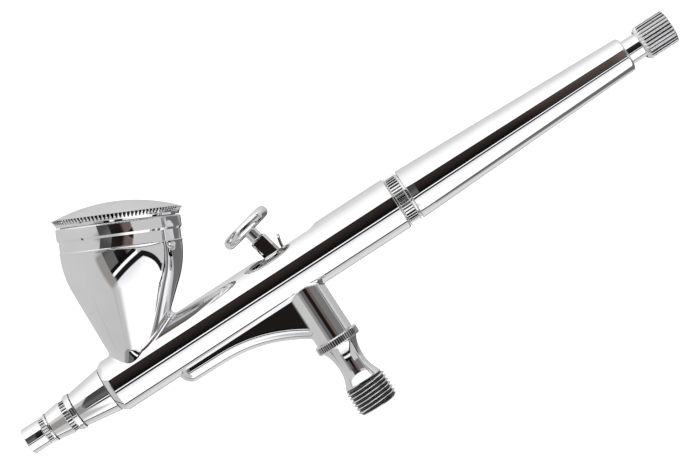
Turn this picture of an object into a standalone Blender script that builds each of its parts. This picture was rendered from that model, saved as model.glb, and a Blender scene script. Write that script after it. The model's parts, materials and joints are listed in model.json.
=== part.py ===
"""Dual-action gravity-feed airbrush, as its separate pieces.

The frame's origin is the centre of the air inlet's end face. +Z runs up the air valve to the finger
button, and +X runs along the barrel from the nozzle to the handle. Lengths are in millimetres, and
each mesh is scaled to metres as it is made.
"""

import math

import bmesh
import bpy
from mathutils import Matrix, Vector

MM = 0.001
WELD = 1e-6  # metres: closes a turned mesh on itself

# ---- driving dimensions ------------------------------------------------------------------------
GAP = 0.15  # between faces that meet
FIT = 0.10  # radial clearance of a threaded or sliding fit
LEAD = 1.0  # how far a cutter runs past the face it opens

AXIS_Z = 35.6  # barrel axis above the inlet's end face
BARREL_R = 6.2
BARREL_FRONT, BARREL_REAR = -48.0, 27.6
NOSE_R, NOSE_BEVEL, REAR_EDGE = 5.45, 1.3, 0.5  # front face inside its bevel, and the rear edge's ease
SEAL_SEAT = (0.8, 4.2)  # depth and radius of the counterbore for the head seal
HEAD_BORE_R, HEAD_BORE_END = 3.7, -43.0
PASSAGE_R, PASSAGE_END = 1.6, -38.5  # paint passage under the cup
GUIDE_R = 1.3  # the needle's way from the passage to the gland
GLAND_R, GLAND_FRONT = 1.8, -14.2
SCREW_BORE_R, SCREW_FRONT, CHAMBER_FRONT = 2.05, -12.1, -8.0
CHAMBER_R = 4.75
CONNECTOR_BORE_R, CONNECTOR_SEAT = 5.3, 19.8

SLOT_FRONT, SLOT_REAR, SLOT_HALF = -6.2, 10.0, 2.65

HOUSING_R, HOUSING_END = 4.45, 18.4
VALVE_BORE_R, VALVE_BORE_TOP = 3.5, 22.9
STEM_HOLE_R, FOOT_GUIDE_END = 1.0, 24.2
FOOT_GUIDE_R, POCKET_R, POCKET_END, POCKET_TOP = 1.75, 2.5, 29.8, 33.2

ARM_R = 2.85  # half the arm's width, and the radius of its rounded lower edge
ARM_FRONT = -33.5
AIR_HOLE_R, AIR_HOLE_RING = 0.42, 4.72  # drilled air way, and its distance from the barrel axis

CUP_TILT = math.radians(25.6)  # the cup leans back towards the handle
LID_X, LID_Z = -25.75, 67.1  # centre of the lid's rim
CUP_TOP, CUP_RIM_R, CUP_RIM_END = 1.55, 13.9, 4.2  # distances down the cup's axis are from that centre
CUP_BAND_R, CUP_BAND_TOP, CUP_BAND_END = 13.55, 4.5, 7.0
BOWL_TOP, BOWL_R, BOWL_ARC = 7.4, 13.6, 21.7
BOWL_SLOPE = math.radians(23.3)
NECK_R = 5.75
CUP_WALL, FLOOR = 0.85, 0.6
MOUTH_R, MOUTH_DEPTH = 13.0, 4.6
DRAIN_X, DRAIN_R = -40.6, 1.8

NEEDLE_R, NEEDLE_TIP, NEEDLE_TAPER, NEEDLE_TAIL = 0.7, -67.2, -51.0, 71.1

TRIGGER_LEAN = math.radians(-12.5)  # towards the nozzle
PIVOT_Z = 33.9
FOOT_END = 26.8  # the foot's lower end, just above the valve plunger
PIN_R, PIN_HALF = 0.4, 1.75
PRONG_R, PRONG_HALF, FORK_HALF = 1.15, 1.9, 0.9
BLADE_HALF, BLADE_TOP = 1.95, 12.0  # half the blade's length, and its height above the pivot
BUTTON_R, BUTTON_HALF, BUTTON_H, DISH = 6.25, 1.3, 15.6, 0.7

LEVER_X, LEVER_Z = 3.9, 32.0  # the auxiliary lever rocks on its rolled foot
LEVER_HALF, LEVER_THIN = 2.1, 0.3  # half its width and half its thickness

KNURL_DEPTH = 0.22
HOSE_THREAD_R, THREAD_DEPTH, PITCH = 4.865, 0.55, 0.907  # 1/8 inch parallel pipe thread

SIDES, CUP_SIDES, LID_SIDES, KNURL_SIDES, SMALL_SIDES, TINY_SIDES = 28, 32, 44, 30, 16, 12

# ---- materials: colour, metallic, roughness -----------------------------------------------------
FINISHES = {
    "chrome": ((0.82, 0.82, 0.83), 1.0, 0.06),
    "bright_chrome": ((0.86, 0.86, 0.87), 1.0, 0.04),
    "nickel": ((0.72, 0.70, 0.66), 1.0, 0.18),
    "brass": ((0.80, 0.62, 0.30), 1.0, 0.25),
    "steel": ((0.62, 0.62, 0.63), 1.0, 0.22),
    "spring_steel": ((0.50, 0.50, 0.52), 1.0, 0.30),
    "ptfe": ((0.86, 0.86, 0.84), 0.0, 0.45),
    "rubber": ((0.02, 0.02, 0.02), 0.0, 0.55),
}


def finish(obj, name):
    """Give the object its own copy of one of the finishes."""
    colour, metallic, roughness = FINISHES[name]
    material = bpy.data.materials.new(f"{obj.name}_{name}")
    material.use_nodes = True
    shader = material.node_tree.nodes["Principled BSDF"]
    shader.inputs["Base Color"].default_value = (*colour, 1.0)
    shader.inputs["Metallic"].default_value = metallic
    shader.inputs["Roughness"].default_value = roughness
    material.diffuse_color = (*colour, 1.0)
    obj.data.materials.append(material)


# ---- placing ------------------------------------------------------------------------------------
def placing(x=0.0, z=0.0, turn=0.0):
    """World place of a piece's own frame: a point in the mid-plane, and a turn about Y."""
    return Matrix.Translation(Vector((x, 0, z)) * MM) @ Matrix.Rotation(turn, 4, "Y")


ON_BARREL = placing(0, AXIS_Z, math.pi / 2)  # own Z runs along the barrel, towards the handle
ON_VALVE = placing()  # own Z runs up the air valve
ON_CUP = placing(LID_X, LID_Z, CUP_TILT)  # own Z runs up the cup's axis
ON_TRIGGER = placing(0, PIVOT_Z, TRIGGER_LEAN)  # own Z runs up the stem from its pin
AT_PIVOT = placing(0, PIVOT_Z)
AT_LEVER = placing(LEVER_X, LEVER_Z)


def piece(name, mesh, place, metal=None):
    """A named object from a bmesh. Without a finish it is a cutter or a shape to be joined."""
    data = bpy.data.meshes.new(name)
    bmesh.ops.recalc_face_normals(mesh, faces=mesh.faces)
    mesh.to_mesh(data)
    mesh.free()
    data.shade_smooth()
    data.set_sharp_from_angle(angle=math.radians(30))
    obj = bpy.data.objects.new(name, data)
    obj.matrix_world = place
    bpy.context.scene.collection.objects.link(obj)
    if metal:
        finish(obj, metal)
    else:
        obj.hide_render = True
        obj.display_type = "WIRE"
    return obj


def boolean(obj, operation, *others):
    for other in others:
        modifier = obj.modifiers.new(f"{operation.lower()}_{other.name}", "BOOLEAN")
        modifier.operation = operation
        modifier.solver = "EXACT"
        modifier.object = other


# ---- shapes -------------------------------------------------------------------------------------
def turned(profile, sides, ring=False, flutes=None):
    """A bmesh turned about its own Z from (height, radius) points.

    A ring's profile closes on itself. Flutes are (low, high, least radius, depth): straight knurls,
    made by drawing in every second column of points between those heights.
    """
    mesh = bmesh.new()
    points = [mesh.verts.new((radius * MM, 0, height * MM)) for height, radius in profile]
    edges = [mesh.edges.new(pair) for pair in zip(points, points[1:])]
    if ring:
        edges.append(mesh.edges.new((points[-1], points[0])))
    bmesh.ops.spin(
        mesh, geom=points + edges, cent=(0, 0, 0), axis=(0, 0, 1), angle=2 * math.pi, steps=sides
    )
    bmesh.ops.remove_doubles(mesh, verts=mesh.verts, dist=WELD)
    if flutes:
        low, high, least, depth = flutes
        for vert in mesh.verts:
            radius = math.hypot(vert.co.x, vert.co.y) / MM
            column = round(math.atan2(vert.co.y, vert.co.x) * sides / (2 * math.pi))
            if low <= vert.co.z / MM <= high and radius >= least and column % 2:
                vert.co.xy *= (radius - depth) / radius
    return mesh


def rod(low, high, radius, sides=SMALL_SIDES):
    return turned([(low, 0), (low, radius), (high, radius), (high, 0)], sides)


def tube(low, high, inner, outer, sides=SMALL_SIDES):
    return turned([(low, inner), (low, outer), (high, outer), (high, inner)], sides, ring=True)


def o_ring(height, radius, wire, sides=SMALL_SIDES, around=6):
    turns = [2 * math.pi * n / around for n in range(around)]
    outline = [(height + wire * math.sin(a), radius + wire * math.cos(a)) for a in turns]
    return turned(outline, sides, ring=True)


def arc(centre, radius, start, end, steps):
    """Points of an arc about a centre, between two angles in degrees."""
    for n in range(steps + 1):
        angle = math.radians(start + (end - start) * n / steps)
        yield centre[0] + radius * math.cos(angle), centre[1] + radius * math.sin(angle)


def slab(outline, half):
    """A closed XZ outline, extruded across Y by half a width each way."""
    mesh = bmesh.new()
    face = mesh.faces.new([mesh.verts.new((x * MM, -half * MM, z * MM)) for x, z in outline])
    grown = bmesh.ops.extrude_face_region(mesh, geom=[face])["geom"]
    moved = [item for item in grown if isinstance(item, bmesh.types.BMVert)]
    bmesh.ops.translate(mesh, verts=moved, vec=(0, 2 * half * MM, 0))
    return mesh


def box(low, high):
    centre, size = (Vector(low) + Vector(high)) / 2, Vector(high) - Vector(low)
    mesh = bmesh.new()
    bmesh.ops.create_cube(mesh, size=1, matrix=Matrix.LocRotScale(centre * MM, None, size * MM))
    return mesh


def loft(sections):
    """A closed bmesh through sections of equal length, each a closed loop of points."""
    mesh = bmesh.new()
    loops = [[mesh.verts.new(Vector(point) * MM) for point in section] for section in sections]
    for first, second in zip(loops, loops[1:]):
        for n, vert in enumerate(first):
            mesh.faces.new((first[n - 1], vert, second[n], second[n - 1]))
    mesh.faces.new(loops[0])
    mesh.faces.new(reversed(loops[-1]))
    return mesh


def drilled(route, radius, sides=8):
    """A round way through the mid-plane along a route of (x, z) points."""
    sections = []
    for n, (x, z) in enumerate(route):
        before, after = route[max(n - 1, 0)], route[min(n + 1, len(route) - 1)]
        along = Vector((after[0] - before[0], 0, after[1] - before[1])).normalized()
        across = Vector((along.z, 0, -along.x))
        turns = [2 * math.pi * k / sides for k in range(sides)]
        sections.append(
            [
                Vector((x, 0, z)) + radius * (across * math.cos(a) + Vector((0, math.sin(a), 0)))
                for a in turns
            ]
        )
    return loft(sections)


def coil(name, place, low, high, radius, wire, turns, metal):
    """A compression spring about its own Z: a round wire on a helix, with filled ends."""
    per_turn = 8
    curve = bpy.data.curves.new(name, "CURVE")
    curve.dimensions = "3D"
    curve.bevel_depth = wire * MM
    curve.bevel_resolution = 1
    curve.use_fill_caps = True
    spline = curve.splines.new("POLY")
    spline.points.add(turns * per_turn)
    for n, point in enumerate(spline.points):
        angle = 2 * math.pi * n / per_turn
        height = low + (high - low) * n / (turns * per_turn)
        at = Vector((radius * math.cos(angle), radius * math.sin(angle), height)) * MM
        point.co = (*at, 1)
    obj = bpy.data.objects.new(name, curve)
    obj.matrix_world = place
    bpy.context.scene.collection.objects.link(obj)
    finish(obj, metal)


# ---- body ---------------------------------------------------------------------------------------
def arm_edge(x):
    """Height of the arm's lower edge: nearly level in front, then falling to the valve housing."""
    level, lowest, fall_from = 26.75, HOUSING_END + 1.4, -24.0
    fall = max(0.0, x - fall_from)
    return max(lowest, level - 0.018 * (x - ARM_FRONT) - 0.0084 * fall**2.2)


def arm():
    """The air arm: flat sides, a half-round lower edge and a rounded nose, run into the housing."""
    stations = [ARM_FRONT + ARM_R * (1 - math.cos(math.radians(a))) for a in (12, 35, 60, 90)]
    stations += [ARM_FRONT + ARM_R + step for step in range(3, 31, 3)]
    sections = []
    for x in stations:
        reach = max(0.0, ARM_FRONT + ARM_R - x)
        half = math.sqrt(ARM_R**2 - reach**2)
        slope = (arm_edge(x + 0.5) - arm_edge(x - 0.5)) / 1.0
        drop = half * math.sqrt(1 + slope**2)
        middle = arm_edge(max(x, ARM_FRONT + ARM_R)) + ARM_R * math.sqrt(1 + slope**2)
        section = [(x, half * math.cos(a), middle - drop * math.sin(a)) for a in
                   (math.pi * n / 10 for n in range(11))]
        sections.append([(x, half, AXIS_Z - 1), *section, (x, -half, AXIS_Z - 1)])
    return loft(sections)


def make_body():
    outline = [
        (BARREL_FRONT, 0),
        (BARREL_FRONT, NOSE_R),
        (BARREL_FRONT + NOSE_BEVEL, BARREL_R),
        (BARREL_REAR - REAR_EDGE, BARREL_R),
        (BARREL_REAR, BARREL_R - REAR_EDGE),
        (BARREL_REAR, 0),
    ]
    body = piece("body", turned(outline, SIDES), ON_BARREL, "chrome")
    housing = piece("housing_blank", rod(HOUSING_END, AXIS_Z - 2, HOUSING_R, SIDES), ON_VALVE)
    boolean(body, "UNION", piece("arm_blank", arm(), placing()), housing)

    seat_depth, seat_r = SEAL_SEAT
    bore = [
        (BARREL_FRONT - LEAD, 0),
        (BARREL_FRONT - LEAD, seat_r),
        (BARREL_FRONT + seat_depth, seat_r),
        (BARREL_FRONT + seat_depth, HEAD_BORE_R),
        (HEAD_BORE_END, HEAD_BORE_R),
        (HEAD_BORE_END, PASSAGE_R),
        (PASSAGE_END, PASSAGE_R),
        (PASSAGE_END, GUIDE_R),
        (GLAND_FRONT, GUIDE_R),
        (GLAND_FRONT, GLAND_R),
        (SCREW_FRONT, GLAND_R),
        (SCREW_FRONT, SCREW_BORE_R),
        (CHAMBER_FRONT, SCREW_BORE_R),
        (CHAMBER_FRONT, CHAMBER_R),
        (CONNECTOR_SEAT, CHAMBER_R),
        (CONNECTOR_SEAT, CONNECTOR_BORE_R),
        (BARREL_REAR + LEAD, CONNECTOR_BORE_R),
        (BARREL_REAR + LEAD, 0),
    ]
    valve_bore = [
        (HOUSING_END - LEAD, 0),
        (HOUSING_END - LEAD, VALVE_BORE_R),
        (VALVE_BORE_TOP, VALVE_BORE_R),
        (VALVE_BORE_TOP, STEM_HOLE_R),
        (FOOT_GUIDE_END, STEM_HOLE_R),
        (FOOT_GUIDE_END, FOOT_GUIDE_R),
        (POCKET_END, FOOT_GUIDE_R),
        (POCKET_END, POCKET_R),
        (POCKET_TOP, POCKET_R),
        (POCKET_TOP, 0),
    ]
    front, rear = (SLOT_FRONT + SLOT_HALF, 0), (SLOT_REAR - SLOT_HALF, 0)
    stadium = [*arc(rear, SLOT_HALF, -90, 90, 8), *arc(front, SLOT_HALF, 90, 270, 8)]
    slot = loft([[(x, y, z) for x, y in stadium] for z in (AXIS_Z, AXIS_Z + BARREL_R + LEAD)])
    ring_z = AXIS_Z - AIR_HOLE_RING
    air_way = [
        (-1.5, 23.4),
        (-6.0, 23.9),
        (-10.0, 25.7),
        (-16.0, 27.6),
        (-30.0, 29.3),
        (-38.0, ring_z),
        (BARREL_FRONT - LEAD, ring_z),
    ]
    drain = rod(AXIS_Z, AXIS_Z + BARREL_R + LEAD, DRAIN_R + FIT)
    boolean(
        body,
        "DIFFERENCE",
        piece("barrel_bore", turned(bore, SIDES), ON_BARREL),
        piece("valve_bore", turned(valve_bore, 24), ON_VALVE),
        piece("trigger_slot", slot, placing()),
        piece("body_drain", drain, placing(DRAIN_X)),
        piece("air_way", drilled(air_way, AIR_HOLE_R), placing()),
    )


# ---- cup ----------------------------------------------------------------------------------------
def bowl(radius, curve, end_radius):
    """The bowl's wall below BOWL_TOP: an arc that turns into a straight taper."""
    for n in range(1, 5):
        angle = BOWL_SLOPE * n / 4
        yield -(BOWL_TOP + curve * math.sin(angle)), radius - curve * (1 - math.cos(angle))
    low, wide = BOWL_TOP + curve * math.sin(BOWL_SLOPE), radius - curve * (1 - math.cos(BOWL_SLOPE))
    yield -(low + (wide - end_radius) / math.tan(BOWL_SLOPE)), end_radius


def make_cup():
    neck_end, inner_end, inner_r, inner_end_r = 34.0, 31.4, BOWL_R - CUP_WALL, 4.6
    outside = [
        (-CUP_TOP, 0),
        (-CUP_TOP, CUP_RIM_R - 0.3),
        (-CUP_TOP - 0.3, CUP_RIM_R),
        (-CUP_RIM_END, CUP_RIM_R),
        (-CUP_BAND_TOP, CUP_BAND_R),
        (-CUP_BAND_END, CUP_BAND_R),
        (-CUP_BAND_END - 0.1, BOWL_R + 0.1),
        (-BOWL_TOP, BOWL_R),
        *bowl(BOWL_R, BOWL_ARC, NECK_R),
        (-neck_end, NECK_R),
        (-neck_end, 0),
    ]
    inside = [
        (-CUP_TOP + LEAD, 0),
        (-CUP_TOP + LEAD, MOUTH_R),
        (-MOUTH_DEPTH, MOUTH_R),
        (-MOUTH_DEPTH, inner_r),
        (-BOWL_TOP, inner_r),
        *bowl(inner_r, BOWL_ARC - CUP_WALL, inner_end_r),
        (-inner_end, 0),
    ]
    cup = piece("paint_cup", turned(outside, CUP_SIDES), ON_CUP, "chrome")
    hollow = piece("cup_hollow", turned(inside, CUP_SIDES), ON_CUP)
    reach = (LID_X - 30, LID_X + 15)
    floor = rod(*reach, BARREL_R + GAP + FLOOR, SIDES)
    boolean(hollow, "DIFFERENCE", piece("cup_floor", floor, ON_BARREL))
    seat = rod(*reach, BARREL_R + GAP, SIDES)
    drain = rod(AXIS_Z, AXIS_Z + 12, DRAIN_R)
    boolean(
        cup,
        "DIFFERENCE",
        hollow,
        piece("cup_seat", seat, ON_BARREL),
        piece("cup_drain", drain, placing(DRAIN_X)),
    )


def make_lid():
    rise, rim_top, knurl_low, rim_low, wall = 3.05, 0.35, -0.95, GAP - CUP_TOP, 0.7
    dome_edge, rim_r, rim_low_r, vent_r, skirt_r = 14.0, 14.6, 13.75, 0.7, 12.75
    sagitta = rise - rim_top
    dome_r = (dome_edge**2 + sagitta**2) / (2 * sagitta)
    skirt_end = -MOUTH_DEPTH + 2 * GAP

    def dome(reach, drop):
        return rise - dome_r - drop + math.sqrt(dome_r**2 - reach**2), reach

    outline = [
        *(dome(reach, 0) for reach in (vent_r, 5.0, 9.5, dome_edge)),
        (rim_top - 0.1, rim_r),
        (knurl_low, rim_low_r),
        (rim_low, rim_low_r - 0.1),
        (rim_low, skirt_r),
        (skirt_end, skirt_r),
        (skirt_end, skirt_r - wall),
        *(dome(reach, wall) for reach in (skirt_r - wall, 7.0, vent_r)),
    ]
    flutes = (knurl_low - 0.01, rim_top, rim_low_r - 0.05, KNURL_DEPTH)
    piece("cup_lid", turned(outline, LID_SIDES, ring=True, flutes=flutes), ON_CUP, "chrome")


# ---- head ---------------------------------------------------------------------------------------
def needle_radius(x):
    return NEEDLE_R * min(1.0, 0.05 + 0.95 * (x - NEEDLE_TIP) / (NEEDLE_TAPER - NEEDLE_TIP))


def make_head():
    shoulder, nose, spigot_r = BARREL_FRONT - GAP, -56.5, 3.0
    front, recess_r, recess_end = -61.3, 2.1, -58.7
    thread_r, thread_end = 1.45, -55.3
    rear = HEAD_BORE_END - GAP
    outline = [
        (front, recess_r),
        (front, spigot_r),
        (nose, spigot_r),
        (nose, 4.1),
        (shoulder, 5.35),
        (shoulder, HEAD_BORE_R - FIT),
        (rear, HEAD_BORE_R - FIT),
        (rear, GUIDE_R),
        (thread_end, GUIDE_R),
        (thread_end, thread_r),
        (recess_end, thread_r),
        (recess_end, recess_r),
    ]
    head = piece("head_base", turned(outline, SIDES, ring=True), ON_BARREL, "chrome")
    air_way = [
        (shoulder + LEAD, AXIS_Z - AIR_HOLE_RING),
        (nose - LEAD, AXIS_Z - spigot_r - AIR_HOLE_R),
    ]
    boolean(head, "DIFFERENCE", piece("head_air_way", drilled(air_way, AIR_HOLE_R), placing()))

    seat_depth, seat_r = SEAL_SEAT
    seal = tube(BARREL_FRONT, BARREL_FRONT + seat_depth - GAP, HEAD_BORE_R + 0.02, seat_r - 0.08, 24)
    piece("head_seal", seal, ON_BARREL, "ptfe")

    tip, flange = -65.9, -60.1
    thread_r -= FIT
    nozzle = [
        (tip, needle_radius(tip) + 0.12),
        (tip, 0.45),
        (flange, thread_r),
        (flange, recess_r - 2 * FIT),
        (recess_end - GAP, recess_r - 2 * FIT),
        (recess_end - GAP, thread_r),
        (thread_end - GAP, thread_r),
        (thread_end - GAP, 0.95),
    ]
    piece("nozzle", turned(nozzle, SMALL_SIDES, ring=True), ON_BARREL, "brass")

    cap_front, cap_shoulder, cap_rear, cap_spigot_r = -66.6, -63.3, nose - GAP, 2.3
    cap = [
        (cap_front, 0.75),
        (cap_front, cap_spigot_r),
        (cap_shoulder, cap_spigot_r),
        (cap_shoulder, 3.35),
        (-59.4, 3.95),
        (-59.2, 4.15),
        (-58.2, 4.15),
        (-58.1, 3.8),
        (-57.95, 3.8),
        (-57.85, 4.35),
        (cap_rear, 4.35),
        (cap_rear, 3.9),
        (-57.6, 3.9),
        (-57.6, spigot_r + FIT),
        (front - GAP, spigot_r + FIT),
        (-61.8, 2.2),
        (-66.0, 0.75),
    ]
    flutes = (-59.25, -58.15, 4.1, KNURL_DEPTH)
    piece("nozzle_cap", turned(cap, KNURL_SIDES, True, flutes), ON_BARREL, "bright_chrome")

    cap_bore = cap_spigot_r + GAP
    needle_cap = [
        (-69.7, cap_bore),
        (-69.7, 2.95),
        (-69.5, 3.1),
        (-65.25, 3.1),
        (-65.15, 3.35),
        (-63.9, 3.35),
        (-63.8, 3.45),
        (cap_shoulder - GAP, 3.45),
        (cap_shoulder - GAP, cap_bore),
    ]
    flutes = (-65.2, -63.85, 3.3, KNURL_DEPTH)
    piece("needle_cap", turned(needle_cap, KNURL_SIDES, True, flutes), ON_BARREL, "bright_chrome")


# ---- needle and what holds it -------------------------------------------------------------------
TUBE_R, TUBE_BORE, HEAD_R, HEAD_FRONT, HEAD_REAR, TUBE_END = 1.75, 0.8, 3.0, 2.3, 5.2, 42.0
CASE_R, CASE_INNER, CASE_FRONT, CASE_WALL, CASE_REAR = 3.7, 3.2, 11.0, 26.5, 28.5


def make_needle_line():
    outline = [
        (NEEDLE_TIP, 0),
        (NEEDLE_TAPER, NEEDLE_R),
        (NEEDLE_TAIL - 0.4, NEEDLE_R),
        (NEEDLE_TAIL, 0.3),
        (NEEDLE_TAIL, 0),
    ]
    piece("needle", turned(outline, TINY_SIDES), ON_BARREL, "steel")

    packing = tube(GLAND_FRONT + GAP, SCREW_FRONT - GAP, NEEDLE_R + 0.08, GLAND_R - FIT)
    piece("needle_packing", packing, ON_BARREL, "ptfe")
    screw = tube(SCREW_FRONT, CHAMBER_FRONT - 0.4, NEEDLE_R + GAP, SCREW_BORE_R - FIT)
    packing_screw = piece("packing_screw", screw, ON_BARREL, "brass")
    driver = box((CHAMBER_FRONT - 1.2, -3, -0.3), (CHAMBER_FRONT, 3, 0.3))
    boolean(packing_screw, "DIFFERENCE", piece("screw_slot", driver, placing(0, AXIS_Z)))

    outline = [
        (HEAD_FRONT, TUBE_BORE),
        (HEAD_FRONT, HEAD_R - 0.3),
        (HEAD_FRONT + 0.3, HEAD_R),
        (HEAD_REAR, HEAD_R),
        (HEAD_REAR, TUBE_R),
        (TUBE_END - 2, TUBE_R),
        (TUBE_END, TUBE_R - 0.45),
        (TUBE_END, TUBE_BORE),
    ]
    guide = piece("needle_tube", turned(outline, SMALL_SIDES, ring=True), ON_BARREL, "nickel")
    slits = box((TUBE_END - 6, -3, -0.2), (TUBE_END + 1, 3, 0.2))
    boolean(guide, "DIFFERENCE", piece("chuck_slit", slits, placing(0, AXIS_Z)))

    wire = 0.3
    coil(
        "needle_spring",
        ON_BARREL,
        HEAD_REAR + wire + GAP,
        CASE_WALL - wire - GAP,
        radius=2.45,
        wire=wire,
        turns=9,
        metal="spring_steel",
    )
    outline = [
        (CASE_FRONT, CASE_INNER),
        (CASE_FRONT, CASE_R),
        (CASE_REAR, CASE_R),
        (CASE_REAR, TUBE_R + GAP),
        (CASE_WALL, TUBE_R + GAP),
        (CASE_WALL, CASE_INNER),
    ]
    piece("spring_case", turned(outline, 24, ring=True), ON_BARREL, "nickel")

    nut_front, nut_shoulder, nut_rear, nut_r = 34.5, 40.0, 44.5, 2.9
    outline = [
        (nut_front, TUBE_R + 0.12),
        (nut_front, nut_r - 0.4),
        (nut_front + 0.4, nut_r),
        (nut_shoulder, nut_r),
        (nut_rear, 1.6),
        (nut_rear, NEEDLE_R + GAP),
        (TUBE_END + 0.3, NEEDLE_R + GAP),
        (TUBE_END + 0.3, TUBE_R - 0.45 + GAP),
        (TUBE_END - 1.7, TUBE_R + 0.12),
    ]
    flutes = (nut_front + 0.3, nut_shoulder + 0.1, nut_r - 0.05, KNURL_DEPTH)
    piece("chuck_nut", turned(outline, 24, True, flutes), ON_BARREL, "nickel")


# ---- rear ---------------------------------------------------------------------------------------
RING_FRONT, RING_REAR, RING_R = BARREL_REAR + GAP, 30.4, 6.1
CONNECTOR_END, HANDLE_THREAD_R = 37.5, 4.6
HANDLE_FRONT, HANDLE_REAR, HANDLE_R, HANDLE_TAIL_R = 30.9, 88.1, 6.0, 4.1
STOP_FRONT, STOP_HOLE_R, STOP_TIP = 77.5, 1.6, 76.0  # the tube's threaded web, and the screw through it
STEM_SEAT, STEM_BORE_R = 80.3, 3.0
STEM_FRONT, KNOB_STEM_R, KNOB_FRONT, KNOB_REAR, KNOB_R = 83.0, 2.85, 91.6, 99.4, 4.25


def make_rear():
    outline = [
        (CONNECTOR_SEAT + 2 * GAP, CASE_R + GAP),
        (CONNECTOR_SEAT + 2 * GAP, CONNECTOR_BORE_R - GAP),
        (RING_FRONT, CONNECTOR_BORE_R - GAP),
        (RING_FRONT, RING_R - 0.25),
        (RING_FRONT + 0.25, RING_R),
        (RING_REAR - 0.25, RING_R),
        (RING_REAR, RING_R - 0.3),
        (RING_REAR, 5.5),
        (HANDLE_FRONT - GAP, 5.5),
        (HANDLE_FRONT - GAP, HANDLE_THREAD_R - FIT),
        (CONNECTOR_END, HANDLE_THREAD_R - FIT),
        (CONNECTOR_END, CASE_R + GAP),
    ]
    flutes = (RING_FRONT + 0.2, RING_REAR - 0.2, RING_R - 0.05, KNURL_DEPTH)
    piece("rear_connector", turned(outline, KNURL_SIDES, True, flutes), ON_BARREL, "chrome")

    corner = 0.8
    outline = [
        (HANDLE_FRONT, HANDLE_THREAD_R),
        (HANDLE_FRONT, HANDLE_R - 0.2),
        (HANDLE_FRONT + 0.2, HANDLE_R),
        *(
            (HANDLE_REAR - corner + along, HANDLE_TAIL_R - corner + out)
            for out, along in arc((0, 0), corner, 0, 90, 3)
        ),
        (HANDLE_REAR, STEM_BORE_R),
        (STEM_SEAT, STEM_BORE_R),
        (STEM_SEAT, STOP_HOLE_R),
        (STOP_FRONT, STOP_HOLE_R),
        (STOP_FRONT, 2.8),
        (CONNECTOR_END + 1.5, 4.3),
        (CONNECTOR_END + 1.0, HANDLE_THREAD_R),
    ]
    piece("handle", turned(outline, SIDES, ring=True), ON_BARREL, "chrome")

    hole_r, hole_end, groove = 1.55, 96.5, (84.2, 85.7)
    outline = [
        (STEM_FRONT, hole_r),
        (STEM_FRONT, KNOB_STEM_R),
        (groove[0], KNOB_STEM_R),
        (groove[0], 2.2),
        (groove[1], 2.2),
        (groove[1], KNOB_STEM_R),
        (KNOB_FRONT, KNOB_STEM_R),
        (KNOB_FRONT, 3.4),
        (KNOB_FRONT + 1.1, KNOB_R),
        (KNOB_REAR - 0.35, KNOB_R),
        (KNOB_REAR, KNOB_R - 0.35),
        (KNOB_REAR, 0),
        (hole_end, 0),
        (hole_end, hole_r),
    ]
    flutes = (KNOB_FRONT + 1, KNOB_REAR - 0.3, KNOB_R - 0.05, KNURL_DEPTH)
    knob = turned([*outline, outline[0]], KNURL_SIDES, flutes=flutes)
    piece("preset_knob", knob, ON_BARREL, "chrome")
    middle = sum(groove) / 2
    piece("knob_o_ring", o_ring(middle, 2.6, 0.32), ON_BARREL, "rubber")
    piece("stop_screw", rod(STOP_TIP, hole_end - GAP, STOP_HOLE_R - GAP), ON_BARREL, "steel")


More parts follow.
